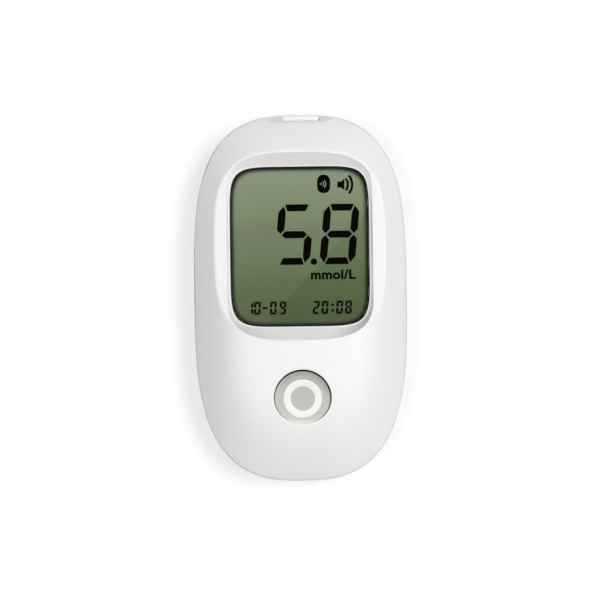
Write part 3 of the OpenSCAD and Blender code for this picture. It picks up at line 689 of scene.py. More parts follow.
# The rear shell's hollow, which leaves the bay's roof, bosses, posts and loudspeaker rim standing
def rearHollow():
    wall, part = body["wall"], body["partingHeight"]
    inside = rearSkin(wall, wall, part + 30)
    islands = [box(rear["bayWidth"], rear["bayLow"], rear["bayTop"], -1, rear["roof"] + rear["roofThick"])]
    islands += [peg(place, screws["boss"] / 2, part - 0.05, 0) for place in bossPlaces]
    posts = rear["screwPosts"] + rear["plainPosts"]
    islands += [peg(place, rear["boardPost"] / 2, rear["boardHeight"], 0) for place in posts]
    islands.append(peg((0, rear["speakerY"]), rear["speakerCavity"] + 1, rear["speakerRim"], 0, 96))
    carve(inside, islands)
    return inside


# Cut from the rear shell: loudspeaker seat, cell bay, the door's way in, label recess, port and screw holes
def rearCuts():
    wall, gap, lip = body["wall"], door["gap"], door["lip"]
    cuts = [peg((0, rear["speakerY"]), rear["speakerCavity"], 30, wall, 96)]
    cuts += [peg((0, y), rear["pocket"], rear["roof"], -5, 128) for y in rear["cellPlaces"]]
    cuts += [box(rear["channel"], *rear["cellPlaces"], -5, rear["roof"]),
             flaredBox(door["width"] + 2 * gap, -80, door["top"] + gap, lip + 0.15, 0.15),
             box(door["width"] + 2 * (door["tongue"] + gap), -80, door["top"] + door["latch"] + gap, lip,
                 wall + 0.15),
             box(door["width"] + 2 * gap, -80, door["endY"] + gap, lip, door["endHeight"] + gap),
             flaredBox(rear["labelWidth"], rear["labelLow"], rear["labelHigh"], rear["labelDeep"], 0.12),
             box(port["scoopWidth"] + 2 * port["side"] + 0.6, 20, 60, body["partingHeight"], 20)]
    for place in bossPlaces:
        r = screws["head"] / 2 + 0.2
        cuts.append(turned(*place, [(r, screws["seat"]), (r, 0.3), (r + 0.3, 0), (r + 0.3, -2)], 48))
        cuts.append(peg(place, screws["thread"] / 2 + 0.15, 12, 2, 32))
    cuts += [peg(place, screws["boardHole"] / 2, 12, screws["boardHoleLow"], 32)
             for place in rear["screwPosts"]]
    for y in rear["cellPlaces"]:
        for x, width, half, low, high in rear["contactSlots"]:
            cuts.append(box(width, y - half, y + half, low, high, x))
    return cuts


def rearShell():
    part, inset = body["partingHeight"], body["tongueIn"]
    shell = rearSkin(0, 0)
    shell.name = "rearShell"
    top = part + body["tongueHeight"]
    tongue = bodyRings((inset + 0.1, top), (inset, top - 0.15), (inset, part - body["wall"]))
    carve(shell, [ringPiece("tool", tongue)], "UNION")
    carve(shell, [rearHollow()])
    carve(shell, rearCuts() + [soundHoles()])
    return shell


def batteryDoor():
    wide, top, wall = door["width"], door["top"], body["wall"]
    piece = box(wide, -70, top, -5, wall)
    piece.name = "batteryDoor"
    more = [box(wide + 2 * door["tongue"], -70, top + door["latch"], door["lip"] + 0.05, wall),
            box(wide, -70, door["endY"], -5, door["endHeight"])]
    for side in (-1, 1):
        more.append(box(door["ribWide"], door["ribFrom"], door["ribTo"], 0.5, door["ribHeight"],
                        side * door["ribX"]))
    carve(piece, more, "UNION")
    carve(piece, [rearSkin(0, 0)], "INTERSECT")
    inside = rearSkin(wall, wall, 40)
    carve(inside, [box(60, door["endY"], 60, -1, 45)])
    carve(piece, [inside, gripGrooves()])
    return piece


# Half-round grooves in a row, which the finger pushes against
def gripGrooves():
    sizes = {"Count": door["gripCount"], "Pitch": door["gripPitch"] * mm, "Width": door["gripWidth"] * mm,
             "Deep": door["gripDeep"] * mm, "Start": (0, door["gripTop"] * mm, 0)}
    tree, given = newTree("grip grooves", sizes)
    offset = addNode(tree, "ShaderNodeCombineXYZ", Y=calc(tree, "MULTIPLY", given["Pitch"], -1.0))
    row = addNode(tree, "GeometryNodeMeshLine", Count=given["Count"], Offset=offset,
                  Start_Location=given["Start"])
    groove = addNode(tree, "GeometryNodeMeshCylinder", Vertices=32, Radius=given["Deep"],
                     Depth=given["Width"])
    lying = addNode(tree, "GeometryNodeTransform", Geometry=groove, Rotation=(0, math.pi / 2, 0),
                    Scale=(1, 1.15, 1))
    copies = addNode(tree, "GeometryNodeInstanceOnPoints", Points=row, Instance=lying)
    return runTree(tree, copies, sizes)


# Height of the cap's tilted, hollow face
def capFace(p):
    low, high = crown([[0, buttonY - holeRadius], [0, buttonY + holeRadius]])
    radius, dish = holeRadius - button["gapNarrow"], button["dishRadius"]
    deep = dish - math.sqrt(dish ** 2 - radius ** 2)
    middle = (low + high) / 2 - button["sink"]
    slope = math.radians(button["tilt"])
    away = np.hypot(p[:, 0] - button["aside"], (p[:, 1] - buttonY) / math.cos(slope))
    hollow = dish - deep - np.sqrt(dish ** 2 - np.minimum(away, radius) ** 2)
    return middle + (p[:, 1] - buttonY) * math.tan(slope) + hollow / math.cos(slope)


def onCap(radius, drop):
    flat = roundButton(radius)
    return level(flat, capFace(flat) - drop)


def buttonCap():
    thick = button["flangeThick"]
    base = button["guideBottom"] - button["play"] - thick
    outer, inner, deep = button["ringOuter"] / 2, button["ringInner"] / 2, button["ringDeep"]
    face = ((0.01, 0), (0.8, 0), (1.6, 0), (2.4, 0), (inner - 0.05, 0), (inner, 0.05), (inner, deep),
            (outer, deep), (outer, 0.05), (outer + 0.05, 0), (5.7, 0), (6.3, 0))
    rings = [onCap(r, drop) for r, drop in face]
    for a in quarter(6):
        flat = roundButton(lambda turn: capEdge(turn) - capRound(turn) * (1 - math.sin(a)))
        turn = np.arctan2(flat[:, 1] - buttonY, flat[:, 0] - button["aside"])
        rings.append(level(flat, capFace(flat) - capRound(turn) * (1 - math.cos(a))))
    radius = holeRadius - button["lipIn"] - button["gapNarrow"]
    flange = holeRadius - button["play"] + button["flangeWidth"]
    inside = radius - button["wallThick"]
    hollow = float(capFace(np.array([[0, buttonY - radius]]))[0]) - button["faceThick"]
    stem, stemEnd = button["stemRadius"], button["stemEnd"]
    for r, z in ((radius, base + thick), (flange - 0.1, base + thick), (flange, base + thick - 0.1),
                 (flange, base), (inside, base), (inside, hollow), (stem, hollow), (stem, stemEnd),
                 (0.01, stemEnd)):
        rings.append(level(roundButton(r), z))
    return ringPiece("buttonCap", rings)


def buttonRing():
    outer, inner = button["ringOuter"] / 2 - 0.01, button["ringInner"] / 2 + 0.01
    deep = button["ringDeep"] - 0.01
    face = ((inner, deep), (inner, 0.06), (inner + 0.02, 0.02), (inner + 0.06, 0), (3.8, 0), (4.4, 0),
            (outer - 0.06, 0), (outer - 0.02, 0.02), (outer, 0.06), (outer, deep))
    return ringPiece("buttonRing", [onCap(r, drop) for r, drop in face], closed=True)


# Depths below the window's face, and the sizes of what lies there
stack = {
    "lensGap": 0.1,
    "lensRound": (0.25, 0.12),  # inwards and down
    "lens": 1.1,
    "flange": 1.6,
    "gasket": 2.0,
    "film": 2.2,
    "sheetWidth": 36.6,
    "sheetLength": 42.1,
    "gasketShow": 0.4,
    "gasketBulge": 0.08,
    "gasketHidden": 0.9,
    "inkHeight": 0.02,
}


def inPlane(flat, depth):
    return intoWindow(level(flat, -depth))


# Rings of the window's outline in its own plane, given as (growth, depth)
def windowRings(*profile):
    return [inPlane(windowOutline(grow), depth) for grow, depth in profile]


def displayLens():
    gap, lens = stack["lensGap"], stack["lens"]
    inward, down = stack["lensRound"]
    edge = [(-gap - inward * (1 - math.sin(a)), down * (1 - math.cos(a))) for a in quarter(5)]
    rings = windowRings((-0.6, 0), *edge, (-gap, lens), (1, lens), (1, stack["flange"]))
    return ringPiece("displayLens", rings)


def windowGasket():
    show, hidden, bulge = stack["gasketShow"], stack["gasketHidden"], stack["gasketBulge"]
    top, bottom = stack["flange"], stack["gasket"]
    rings = windowRings((hidden, top), (hidden, bottom), (-show, bottom),
                        (bulge - show, (top + bottom) / 2), (-show, top))
    return ringPiece("windowGasket", rings, closed=True)


# The film carries its distance inside the window's edge, where its material paints the bezel's shadow
def displayFilm():
    half = np.array([stack["sheetWidth"] / 2, stack["sheetLength"] / 2])
    border = windowOutline(0)
    rect = border * np.min(half / np.maximum(np.abs(border), 1e-6), axis=1)[:, None]
    rings = [inPlane(rect, stack["film"]), inPlane(rect, stack["gasket"])]
    insets = (0, 0.2, 0.35, 0.5, 0.65, 0.8, 1.0, 1.2, 1.5, 1.8, 2.2, 2.6, 3, 3.5, 4, 5, 7, 10)
    for inset in insets:
        rings.append(inPlane(np.clip(windowOutline(-inset), -half + 0.05, half - 0.05), stack["gasket"]))
    piece = ringPiece("displayFilm", rings)
    inside = np.repeat([-0.5, -0.5, *insets], body["pointsRound"])
    layer = piece.data.attributes.new("inside", "FLOAT", "POINT")
    layer.data.foreach_set("value", inside[:len(layer.data)].astype(np.float32))
    return piece


digits = {
    "width": 9.5,
    "height": 15.95,
    "stroke": 2.0,
    "bar": 1.82,
    "slant": 0.1,
    "places": (-1.42, 10.5),
    "row": 3.16,
    "figures": "58",
    "point": (3.64, -4.06, 0.86, 0.86),
    "smallWidth": 1.78,
    "smallHeight": 3.45,
    "smallStroke": 0.6,
    "smallSlant": 0.06,
    "smallRow": -16.15,
    "date": (("1", -13.35), ("0", -11.4), ("-", -9.36), ("0", -7.2), ("9", -4.68)),
    "clock": (("2", 4.12), ("0", 6.41), (":", 8.42), ("0", 10.26), ("8", 12.6)),
    "unit": "mmol/L",
    "unitPlace": (8.7, -7.48),
    "unitSize": (11.8, 2.6),
}
lit = {"0": "abcdef", "1": "bc", "2": "abged", "5": "afgcd", "8": "abcdefg", "9": "abcdfg"}


# The lower and right-hand segments mirror the upper left ones
def allSegments(w, h, top, left, bar):
    def flip(loop, across, up):
        return [(w - x if across else x, h - y if up else y) for x, y in loop]
    return {"a": top, "b": flip(left, 1, 0), "c": flip(left, 1, 1), "d": flip(top, 0, 1),
            "e": flip(left, 0, 1), "f": left, "g": bar}


def largeShapes(w, h, s, b):
    half = h / 2
    top = [(0.8 * s, h), (w - 0.8 * s, h), (w - 1.14 * s, h - b), (1.14 * s, h - b)]
    left = [(0.68 * s, h - 0.22 * s), (s, h - 1.1 * s), (1.02 * s, half + 0.68 * s),
            (0.54 * s, half + 0.1 * s), (0.02 * s, half + 0.62 * s), (0.02 * s, h - 1.03 * s)]
    bar = [(0.7 * s, half - 0.05 * s), (1.15 * s, half + 0.5 * b), (w - 1.15 * s, half + 0.5 * b),
           (w - 0.7 * s, half - 0.05 * s), (w - 1.15 * s, half - 0.53 * b), (1.15 * s, half - 0.53 * b)]
    return allSegments(w, h, top, left, bar)


# Small figures: plain strokes that meet at a slant, a hair apart
def smallShapes(w, h, s):
    half, hair = h / 2, 0.05
    top = [(hair, h), (w - hair, h), (w - hair - s, h - s), (hair + s, h - s)]
    left = [(0, h - hair), (s, h - s - hair), (s, half + s / 2 + hair), (s / 2, half + hair),
            (0, half + s / 2 + hair)]
    bar = [(s / 2 + hair, half), (s + hair, half + s / 2), (w - s - hair, half + s / 2),
           (w - s / 2 - hair, half), (w - s - hair, half - s / 2), (s + hair, half - s / 2)]
    return allSegments(w, h, top, left, bar)


# Takes a little off the corners, as the etched segments of a display have them
def softLoop(loop, amount=0.07):
    sides = zip(loop, loop[1:] + loop[:1])
    return [(mix(p[0], q[0], k), mix(p[1], q[1], k)) for p, q in sides for k in (amount, 1 - amount)]


def figureLoops(figure, x, y, w, h, s, slant, b=None):
    if figure == ":":
        return [roundLoop(x, y + dy, 0.6 * s, 0.6 * s, count=12) for dy in (-0.24 * h, 0.2 * h)]
    if figure == "-":
        return [roundLoop(x, y, 0.4 * w, 0.45 * s, 5, 20)]
    shapes = largeShapes(w, h, s, b) if b else smallShapes(w, h, s)
    loops = []
    for key in lit[figure]:
        loop = softLoop(shapes[key])
        loops.append([(x + px - w / 2 + slant * (py - h / 2), y + py - h / 2) for px, py in loop])
    return loops


def roundLoop(x, y, rx, ry, power=2, count=40):
    t = turns(count)
    return list(zip(x + rx * bend(np.cos(t), 2 / power), y + ry * bend(np.sin(t), 2 / power)))


def arcLoop(x, y, radius, thick, turn, count=12):
    t = np.radians(np.linspace(-turn, turn, count))
    outer, inner = [list(zip(x + r * np.cos(t), y + r * np.sin(t)))
                    for r in (radius + thick / 2, radius - thick / 2)]
    return outer + inner[::-1]


# Thin solid figures on the display film
def inkPiece(name, loops, above=stack["inkHeight"], below=0.01):
    points, faces = [], []
    for loop in loops:
        area = sum(p[0] * q[1] - q[0] * p[1] for p, q in zip(loop, loop[1:] + loop[:1]))
        loop = np.array(loop if area > 0 else loop[::-1])
        n, first = len(loop), sum(len(p) for p in points)
        points.append(inPlane(loop, stack["gasket"] - above))
        points.append(inPlane(loop, stack["gasket"] + below))
        faces.append(tuple(first + i for i in range(n)))
        faces.append(tuple(first + n + i for i in range(n - 1, -1, -1)))
        for i in range(n):
            j = (i + 1) % n
            faces.append((first + i, first + n + i, first + n + j, first + j))
    return fromPydata(name, np.vstack(points), faces)


def displayFigures():
    d = digits
    large = (d["row"], d["width"], d["height"], d["stroke"], d["slant"], d["bar"])
    small = (d["smallRow"], d["smallWidth"], d["smallHeight"], d["smallStroke"], d["smallSlant"])
    loops = []
    for figure, x in zip(d["figures"], d["places"]):
        loops += figureLoops(figure, x, *large)
    for figure, x in d["date"] + d["clock"]:
        loops += figureLoops(figure, x, *small)
    return inkPiece("displayFigures", loops + [roundLoop(*d["point"])])


icons = {
    "pill": (6.47, 16.44, 1.74, 2.42),
    "pillSquare": 2.7,
    "waveFrom": (5.75, 16.44),
    "waveDot": 0.24,
    "waves": ((0.72, 0.26, 48), (1.28, 0.26, 48)),  # radius, thickness, degrees to either side
    "horn": ((10.1, 15.45), (11.1, 15.45), (11.93, 14.7), (11.93, 17.76), (11.1, 17.01), (10.1, 17.01)),
    "soundFrom": (10.2, 16.23),
    "sounds": ((2.65, 0.6, 37), (3.78, 0.62, 39)),
}


# Radio waves in a pill, and a loudspeaker
def displayIcons():
    pill = inkPiece("displayIcons", [roundLoop(*icons["pill"], icons["pillSquare"], 64)])
    dot = roundLoop(*icons["waveFrom"], icons["waveDot"], icons["waveDot"], count=16)
    waves = [dot] + [arcLoop(*icons["waveFrom"], *wave) for wave in icons["waves"]]
    carve(pill, [inkPiece("tool", [wave], 0.3, 0.3) for wave in waves])
    return pill


def speakerIcon():
    sounds = [arcLoop(*icons["soundFrom"], *sound) for sound in icons["sounds"]]
    return inkPiece("speakerIcon", [list(icons["horn"])] + sounds)


def unitWord():
    words = bpy.data.curves.new("unit", "FONT")
    words.body = digits["unit"]
    words.size = 1
    words.offset = 0.04
    words.space_character = 1.07
    words.extrude = 0.02
    words.align_x = "CENTER"
    piece = linkObject("unitWord", words)
    mesh = finalMesh(piece)
    bpy.data.objects.remove(piece)
    points = np.array([v.co for v in mesh.vertices])
    low, high = points[:, :2].min(axis=0), points[:, :2].max(axis=0)
    flat = digits["unitPlace"] + (points[:, :2] - (low + high) / 2) * digits["unitSize"] / (high - low)
    depth = stack["gasket"] - stack["inkHeight"] * (points[:, 2] > 0)
    mesh.vertices.foreach_set("co", (inPlane(flat, depth) * mm).ravel())
    piece = linkObject("unitWord", mesh)
    faceOutwards(piece)
    return piece


def stripPort():
    part, p = body["partingHeight"] + 0.05, port
    mouthY, aside = halfLength - p["mouthWall"], p["aside"]
    floor, wide = p["slotFloor"], p["mouthWidth"] - 0.03
    piece = box(p["tunnelWidth"], p["backFace"], mouthY - p["noseLong"] - 0.05, part, p["tunnelTop"], aside)
    piece.name = "stripPort"
    nose = box(wide, p["backFace"] + 2, mouthY - 0.05, part, p["noseTop"], aside)
    flange = box(p["tunnelWidth"] + p["flangeWide"], p["backFace"], p["backFace"] + p["flangeLong"],
                 part, floor + p["slotHeight"], aside)
    edge = [(inset, floor - drop) for inset, drop in p["deckEdge"]]
    deck = ringPiece("tool", bodyRings(*edge, (0.08, part)))
    carve(deck, [box(wide, mouthY - 0.3, 60, 0, floor, aside)], "INTERSECT")
    ledge = softBox(wide, mouthY - 0.3, halfLength - p["ledgeBack"], part, floor, 0.08, aside)
    carve(piece, [flange, nose, deck, ledge], "UNION")
    carve(piece, [box(p["slotWidth"], 10, 60, floor, floor + p["slotHeight"], aside)])
    return piece


floorStyle = {"size": 3000, "below": 0.03, "colour": "#acacac", "white": 0.63}


# Paper sweep, whiter to the camera and in mirrors than the light that it gives the object
def stageFloor():
    half, z = floorStyle["size"] / 2, -floorStyle["below"]
    floor = fromPydata("floor", level(rectangle(2 * half, -half, half), z), [(0, 1, 2, 3)])
    material, tree = newMaterial("paper sweep")
    paper = addNode(tree, "ShaderNodeBsdfDiffuse", Color=floorStyle["colour"])
    bright = addNode(tree, "ShaderNodeEmission", Color=(1, 1, 1, 1), Strength=floorStyle["white"])
    path = addNode(tree, "ShaderNodeLightPath").outputs
    seen = calc(tree, "MAXIMUM", path["Is Camera Ray"], path["Is Glossy Ray"])
    dark = addNode(tree, "ShaderNodeEmission", Color=(0, 0, 0, 1), Strength=0)
    extra = addNode(tree, "ShaderNodeMixShader", i0=seen, i1=dark, i2=bright)
    showAs(tree, addNode(tree, "ShaderNodeAddShader", i0=paper, i1=extra))
    floor.data.materials.append(material)


def newMaterial(name):
    material = bpy.data.materials.new(name)
    material.use_nodes = True
    material.node_tree.nodes.clear()
    return material, material.node_tree


def showAs(tree, shader):
    addNode(tree, "ShaderNodeOutputMaterial", Surface=shader)


def axesOf(tree, place):
    return addNode(tree, "ShaderNodeSeparateXYZ", Vector=place).outputs


def objectPlace(tree):
    return addNode(tree, "ShaderNodeTexCoord").outputs["Object"]


def blend(tree, amount, first, second, how="MIX"):
    settings = {"data_type": "RGBA", "blend_type": how}
    return addNode(tree, "ShaderNodeMix", settings, i0=amount, i6=first, i7=second).outputs[2]


def ease(tree, value, low, high, how="SMOOTHSTEP"):
    return addNode(tree, "ShaderNodeMapRange", {"interpolation_type": how}, i0=value, i1=low, i2=high)


def noise(tree, place, scale, detail):
    return addNode(tree, "ShaderNodeTexNoise", Vector=place, Scale=scale, Detail=detail)


def raised(tree, height, strength, distance):
    return addNode(tree, "ShaderNodeBump", Height=height, Strength=strength, Distance=distance)


def coat(tree, colour, roughness, ior, **more):
    look = {"Base_Color": colour, "Roughness": roughness, "IOR": ior, **more}
    showAs(tree, addNode(tree, "ShaderNodeBsdfPrincipled", **look))


# A ramp along a length, its stops given as (millimetres, colour)
def rampAlong(tree, value, stops):
    low, high = stops[0][0], stops[-1][0]
    ramp = addNode(tree, "ShaderNodeValToRGB", Fac=ease(tree, value, low * mm, high * mm, "LINEAR"))
    elements = ramp.color_ramp.elements
    while len(elements) < len(stops):
        elements.new(0.5)
    for element, stop in zip(elements, stops):
        element.position = (stop[0] - low) / (high - low)
    for element, stop in zip(elements, stops):
        element.color = linear(stop[1])
    return ramp


# Moulded or worked surface: two near tones in clouds of one size, and a fine relief of another
def surface(name, colours, cloudMm, roughness, grainMm, reliefMm, metallic=0.0, ior=1.5, stretch=(1, 1, 1)):
    material, tree = newMaterial(name)
    place = addNode(tree, "ShaderNodeMapping", Vector=objectPlace(tree), Scale=stretch)
    tone = blend(tree, noise(tree, place, 1000 / cloudMm, 3.0), *colours)
    bump = raised(tree, noise(tree, place, 1000 / grainMm, 2.0), 0.6, reliefMm * mm)
    coat(tree, tone, roughness, ior, Metallic=metallic, Normal=bump)
    return material


# Painted light and shade on the button cap: stops and nearShare pale its grey towards the near edge, dark
# and the paintedShadow sizes darken it inside the far edge
tint = {
    "stops": ((3.4, "#c1c1ba"), (4.4, "#c2c2bb"), (5.5, "#cbcbc5"), (6.2, "#dededa"), (6.9, "#ededeb")),
    "nearShare": 0.8,
    "paintedShadowFrom": 5.4,
    "paintedShadowTo": 6.7,
    "paintedShadowTurn": 75,
    "paintedShadowSoft": 0.75,
    "dark": "#dcdcd8",
}


# Moulded warm grey ABS, with a painted highlight paling it to white at the near edge and a painted shadow
# inside the far edge
def buttonGreyPaintedShade():
    material = surface("warm grey ABS", ("#fdfdfd", "#ffffff"), 4, 0.38, 0.3, 0.003)
    tree = material.node_tree
    skin = next(node for node in tree.nodes if node.bl_idname == "ShaderNodeBsdfPrincipled")
    cloud = skin.inputs["Base Color"].links[0].from_socket
    middle = (-button["aside"] * mm, -buttonY * mm, 0)
    local = addNode(tree, "ShaderNodeMapping", Vector=objectPlace(tree), Location=middle, Scale=(1, 1, 0))
    axes = axesOf(tree, local)
    away = addNode(tree, "ShaderNodeVectorMath", {"operation": "LENGTH"}, i0=local).outputs["Value"]
    part = calc(tree, "MULTIPLY", away, 1 - tint["nearShare"])
    near = calc(tree, "MULTIPLY_ADD", axes["Y"], -tint["nearShare"], part)
    # Painted highlight: the grey pales towards the cap's near edge
    ramp = rampAlong(tree, near, tint["stops"])
    turn = math.radians(tint["paintedShadowTurn"])
    across = addNode(tree, "ShaderNodeVectorMath", {"operation": "DOT_PRODUCT"}, i0=local,
                     i1=(math.cos(turn), math.sin(turn), 0)).outputs["Value"]
    far = ease(tree, calc(tree, "DIVIDE", across, away), 0.0, tint["paintedShadowSoft"])
    # Painted shadow: the grey darkens by dark inside the cap's far edge
    edge = ease(tree, away, tint["paintedShadowFrom"] * mm, tint["paintedShadowTo"] * mm)
    deep = blend(tree, calc(tree, "MULTIPLY", far, edge), ramp.outputs[0], tint["dark"], "MULTIPLY")
    tone = blend(tree, 1.0, deep, cloud, "MULTIPLY")
    tree.links.new(tone, skin.inputs["Base Color"])
    return material


# Cast acrylic window: the lamps pass through it, so the display below keeps its own tone, and it
# mirrors 4% face on and more at a slant, alike from both sides
pane = {
    "tint": "#fbfcfb",
    "roughness": 0.04,
    "waveScale": 90.0,
    "waveHeight": 0.004,
    "faceOn": 0.04,
    "steepness": 5.0,
}


def windowClear():
    material, tree = newMaterial("clear acrylic")
    through = addNode(tree, "ShaderNodeBsdfTransparent", Color=pane["tint"])
    wave = noise(tree, objectPlace(tree), pane["waveScale"], 1.0)
    swell = raised(tree, wave, 0.1, pane["waveHeight"] * mm)
    gloss = addNode(tree, "ShaderNodeBsdfGlossy", Roughness=pane["roughness"], Normal=swell)
    slope = addNode(tree, "ShaderNodeLayerWeight", Blend=0.5).outputs["Facing"]
    grazing = calc(tree, "POWER", slope, pane["steepness"])
    mirror = calc(tree, "MULTIPLY_ADD", grazing, 1 - pane["faceOn"], pane["faceOn"])
    showAs(tree, addNode(tree, "ShaderNodeMixShader", i0=mirror, i1=through, i2=gloss))
    return material


# The window's edge and underside, bonded to the foam: no second mirror image behind the first
def windowUnder():
    material, tree = newMaterial("clear acrylic underside")
    haze = blend(tree, noise(tree, objectPlace(tree), 400.0, 1.0), "#fcfdfc", "#fefefe")
    showAs(tree, addNode(tree, "ShaderNodeBsdfTransparent", Color=haze))
    return material


# Painted light on the film: stops paint a fall-off of reflected light, edge and bezelShadowMm a bezel
# shadow, the paintedGlare entries a reflection
film = {
    "stops": ((-4.5, "#606c51"), (4.0, "#697956"), (7.3, "#71815d"), (12.6, "#7a876a"), (17.8, "#808a70"),
              (22.6, "#879576"), (27.0, "#8d987d"), (32.0, "#939e85")),
    "paintedGlareThrough": (-2.5, 0.5),
    "paintedGlareTurn": 48,
    "paintedGlareDark": "#ebf0e6",
    "edge": "#20231f",
    "bezelShadowMm": 1.7,
    "paintedGlareSoft": 0.3,
}


# Reflective twisted-nematic film: grey-green, with a painted fall-off of reflected light that darkens it to
# the button end, and a painted bezel shadow at its edge.
# A painted reflection of a light in the window leaves it paler on the far side of a slanting line
def displayGreen():
    material, tree = newMaterial("display film")
    place = objectPlace(tree)
    axes = axesOf(tree, place)
    # Painted fall-off of reflected light, darker towards the button end
    ramp = rampAlong(tree, axes["Y"], film["stops"])
    grain = noise(tree, place, 9000.0, 1.0).outputs["Color"]
    speck = blend(tree, 0.12, ramp.outputs[0], grain, "SOFT_LIGHT")
    # Painted reflection: a darker tone on the near side of a slanting line, paler beyond it
    x, y = film["paintedGlareThrough"]
    turn = math.radians(film["paintedGlareTurn"])
    aside = calc(tree, "MULTIPLY", axes["X"], math.sin(turn))
    beside = calc(tree, "MULTIPLY_ADD", axes["Y"], -math.cos(turn), aside)
    start = x * math.sin(turn) - y * math.cos(turn)
    below = ease(tree, beside, (start - film["paintedGlareSoft"]) * mm, (start + film["paintedGlareSoft"]) * mm)
    sheen = blend(tree, below, speck, film["paintedGlareDark"], "MULTIPLY")
    # Painted bezel shadow: the film darkens to edge within bezelShadowMm of the window's edge
    inside = addNode(tree, "ShaderNodeAttribute", {"attribute_name": "inside"}).outputs["Fac"]
    tone = blend(tree, ease(tree, inside, 0.1, film["bezelShadowMm"], "SMOOTHERSTEP"), film["edge"], sheen)
    coat(tree, tone, 0.14, 1.4)
    return material


# Liquid-printed soldermask over etched copper: dark glossy green, paler where the copper runs below it.
# Tracks 0.15 mm wide are drawn at 0.35 mm to show, in patches that run one way or the other
board = {
    "bare": "#1d5a38",
    "overCopper": "#2f7d4c",
    "pad": "#b9a25c",
    "patchMm": 6.5,
    "pitchMm": 0.9,
    "trackShare": 0.4,
    "filled": 0.3,
    "viaMm": 3.2,
    "viaReach": 0.1,
    "copperHigh": 0.03,
}


def boardGreen():
    material, tree = newMaterial("green soldermask")
    place = objectPlace(tree)
    axes = axesOf(tree, place)
    patch = addNode(tree, "ShaderNodeTexVoronoi", {"distance": "CHEBYCHEV"}, Vector=place,
                    Scale=1000 / board["patchMm"])
    draws = addNode(tree, "ShaderNodeSeparateColor", Color=patch.outputs["Color"]).outputs
    flip = calc(tree, "GREATER_THAN", draws[0], 0.5)
    across = addNode(tree, "ShaderNodeMix", {"data_type": "FLOAT"}, i0=flip, i2=axes["X"], i3=axes["Y"])
    phase = calc(tree, "FRACT", calc(tree, "MULTIPLY", across, 1000 / board["pitchMm"]))
    copper = calc(tree, "MAXIMUM", calc(tree, "LESS_THAN", phase, board["trackShare"]),
                  calc(tree, "LESS_THAN", draws[1], board["filled"]))
    mask = blend(tree, copper, board["bare"], board["overCopper"])
    vias = addNode(tree, "ShaderNodeTexVoronoi", Vector=place, Scale=1000 / board["viaMm"])
    via = calc(tree, "LESS_THAN", vias.outputs["Distance"], board["viaReach"])
    tone = blend(tree, via, mask, board["pad"])
    coat(tree, tone, 0.35, 1.55, Normal=raised(tree, copper, 0.5, board["copperHigh"] * mm))
    return material


# Elastomer connector: carbon-loaded layers every 0.18 mm between clear silicone, drawn at 0.5 mm to show
stripes = {
    "scale": 630.0,
    "waver": 0.3,
    "carbon": "#2a2526",
    "silicone": "#d9a3ac",
}


def zebraStripes():
    material, tree = newMaterial("layered silicone")
    layers = addNode(tree, "ShaderNodeTexWave", {"bands_direction": "X"}, Vector=objectPlace(tree),
                     Scale=stripes["scale"], Distortion=stripes["waver"])
    tone = blend(tree, layers.outputs["Fac"], stripes["carbon"], stripes["silicone"])
    coat(tree, tone, 0.55, 1.41)
    return material


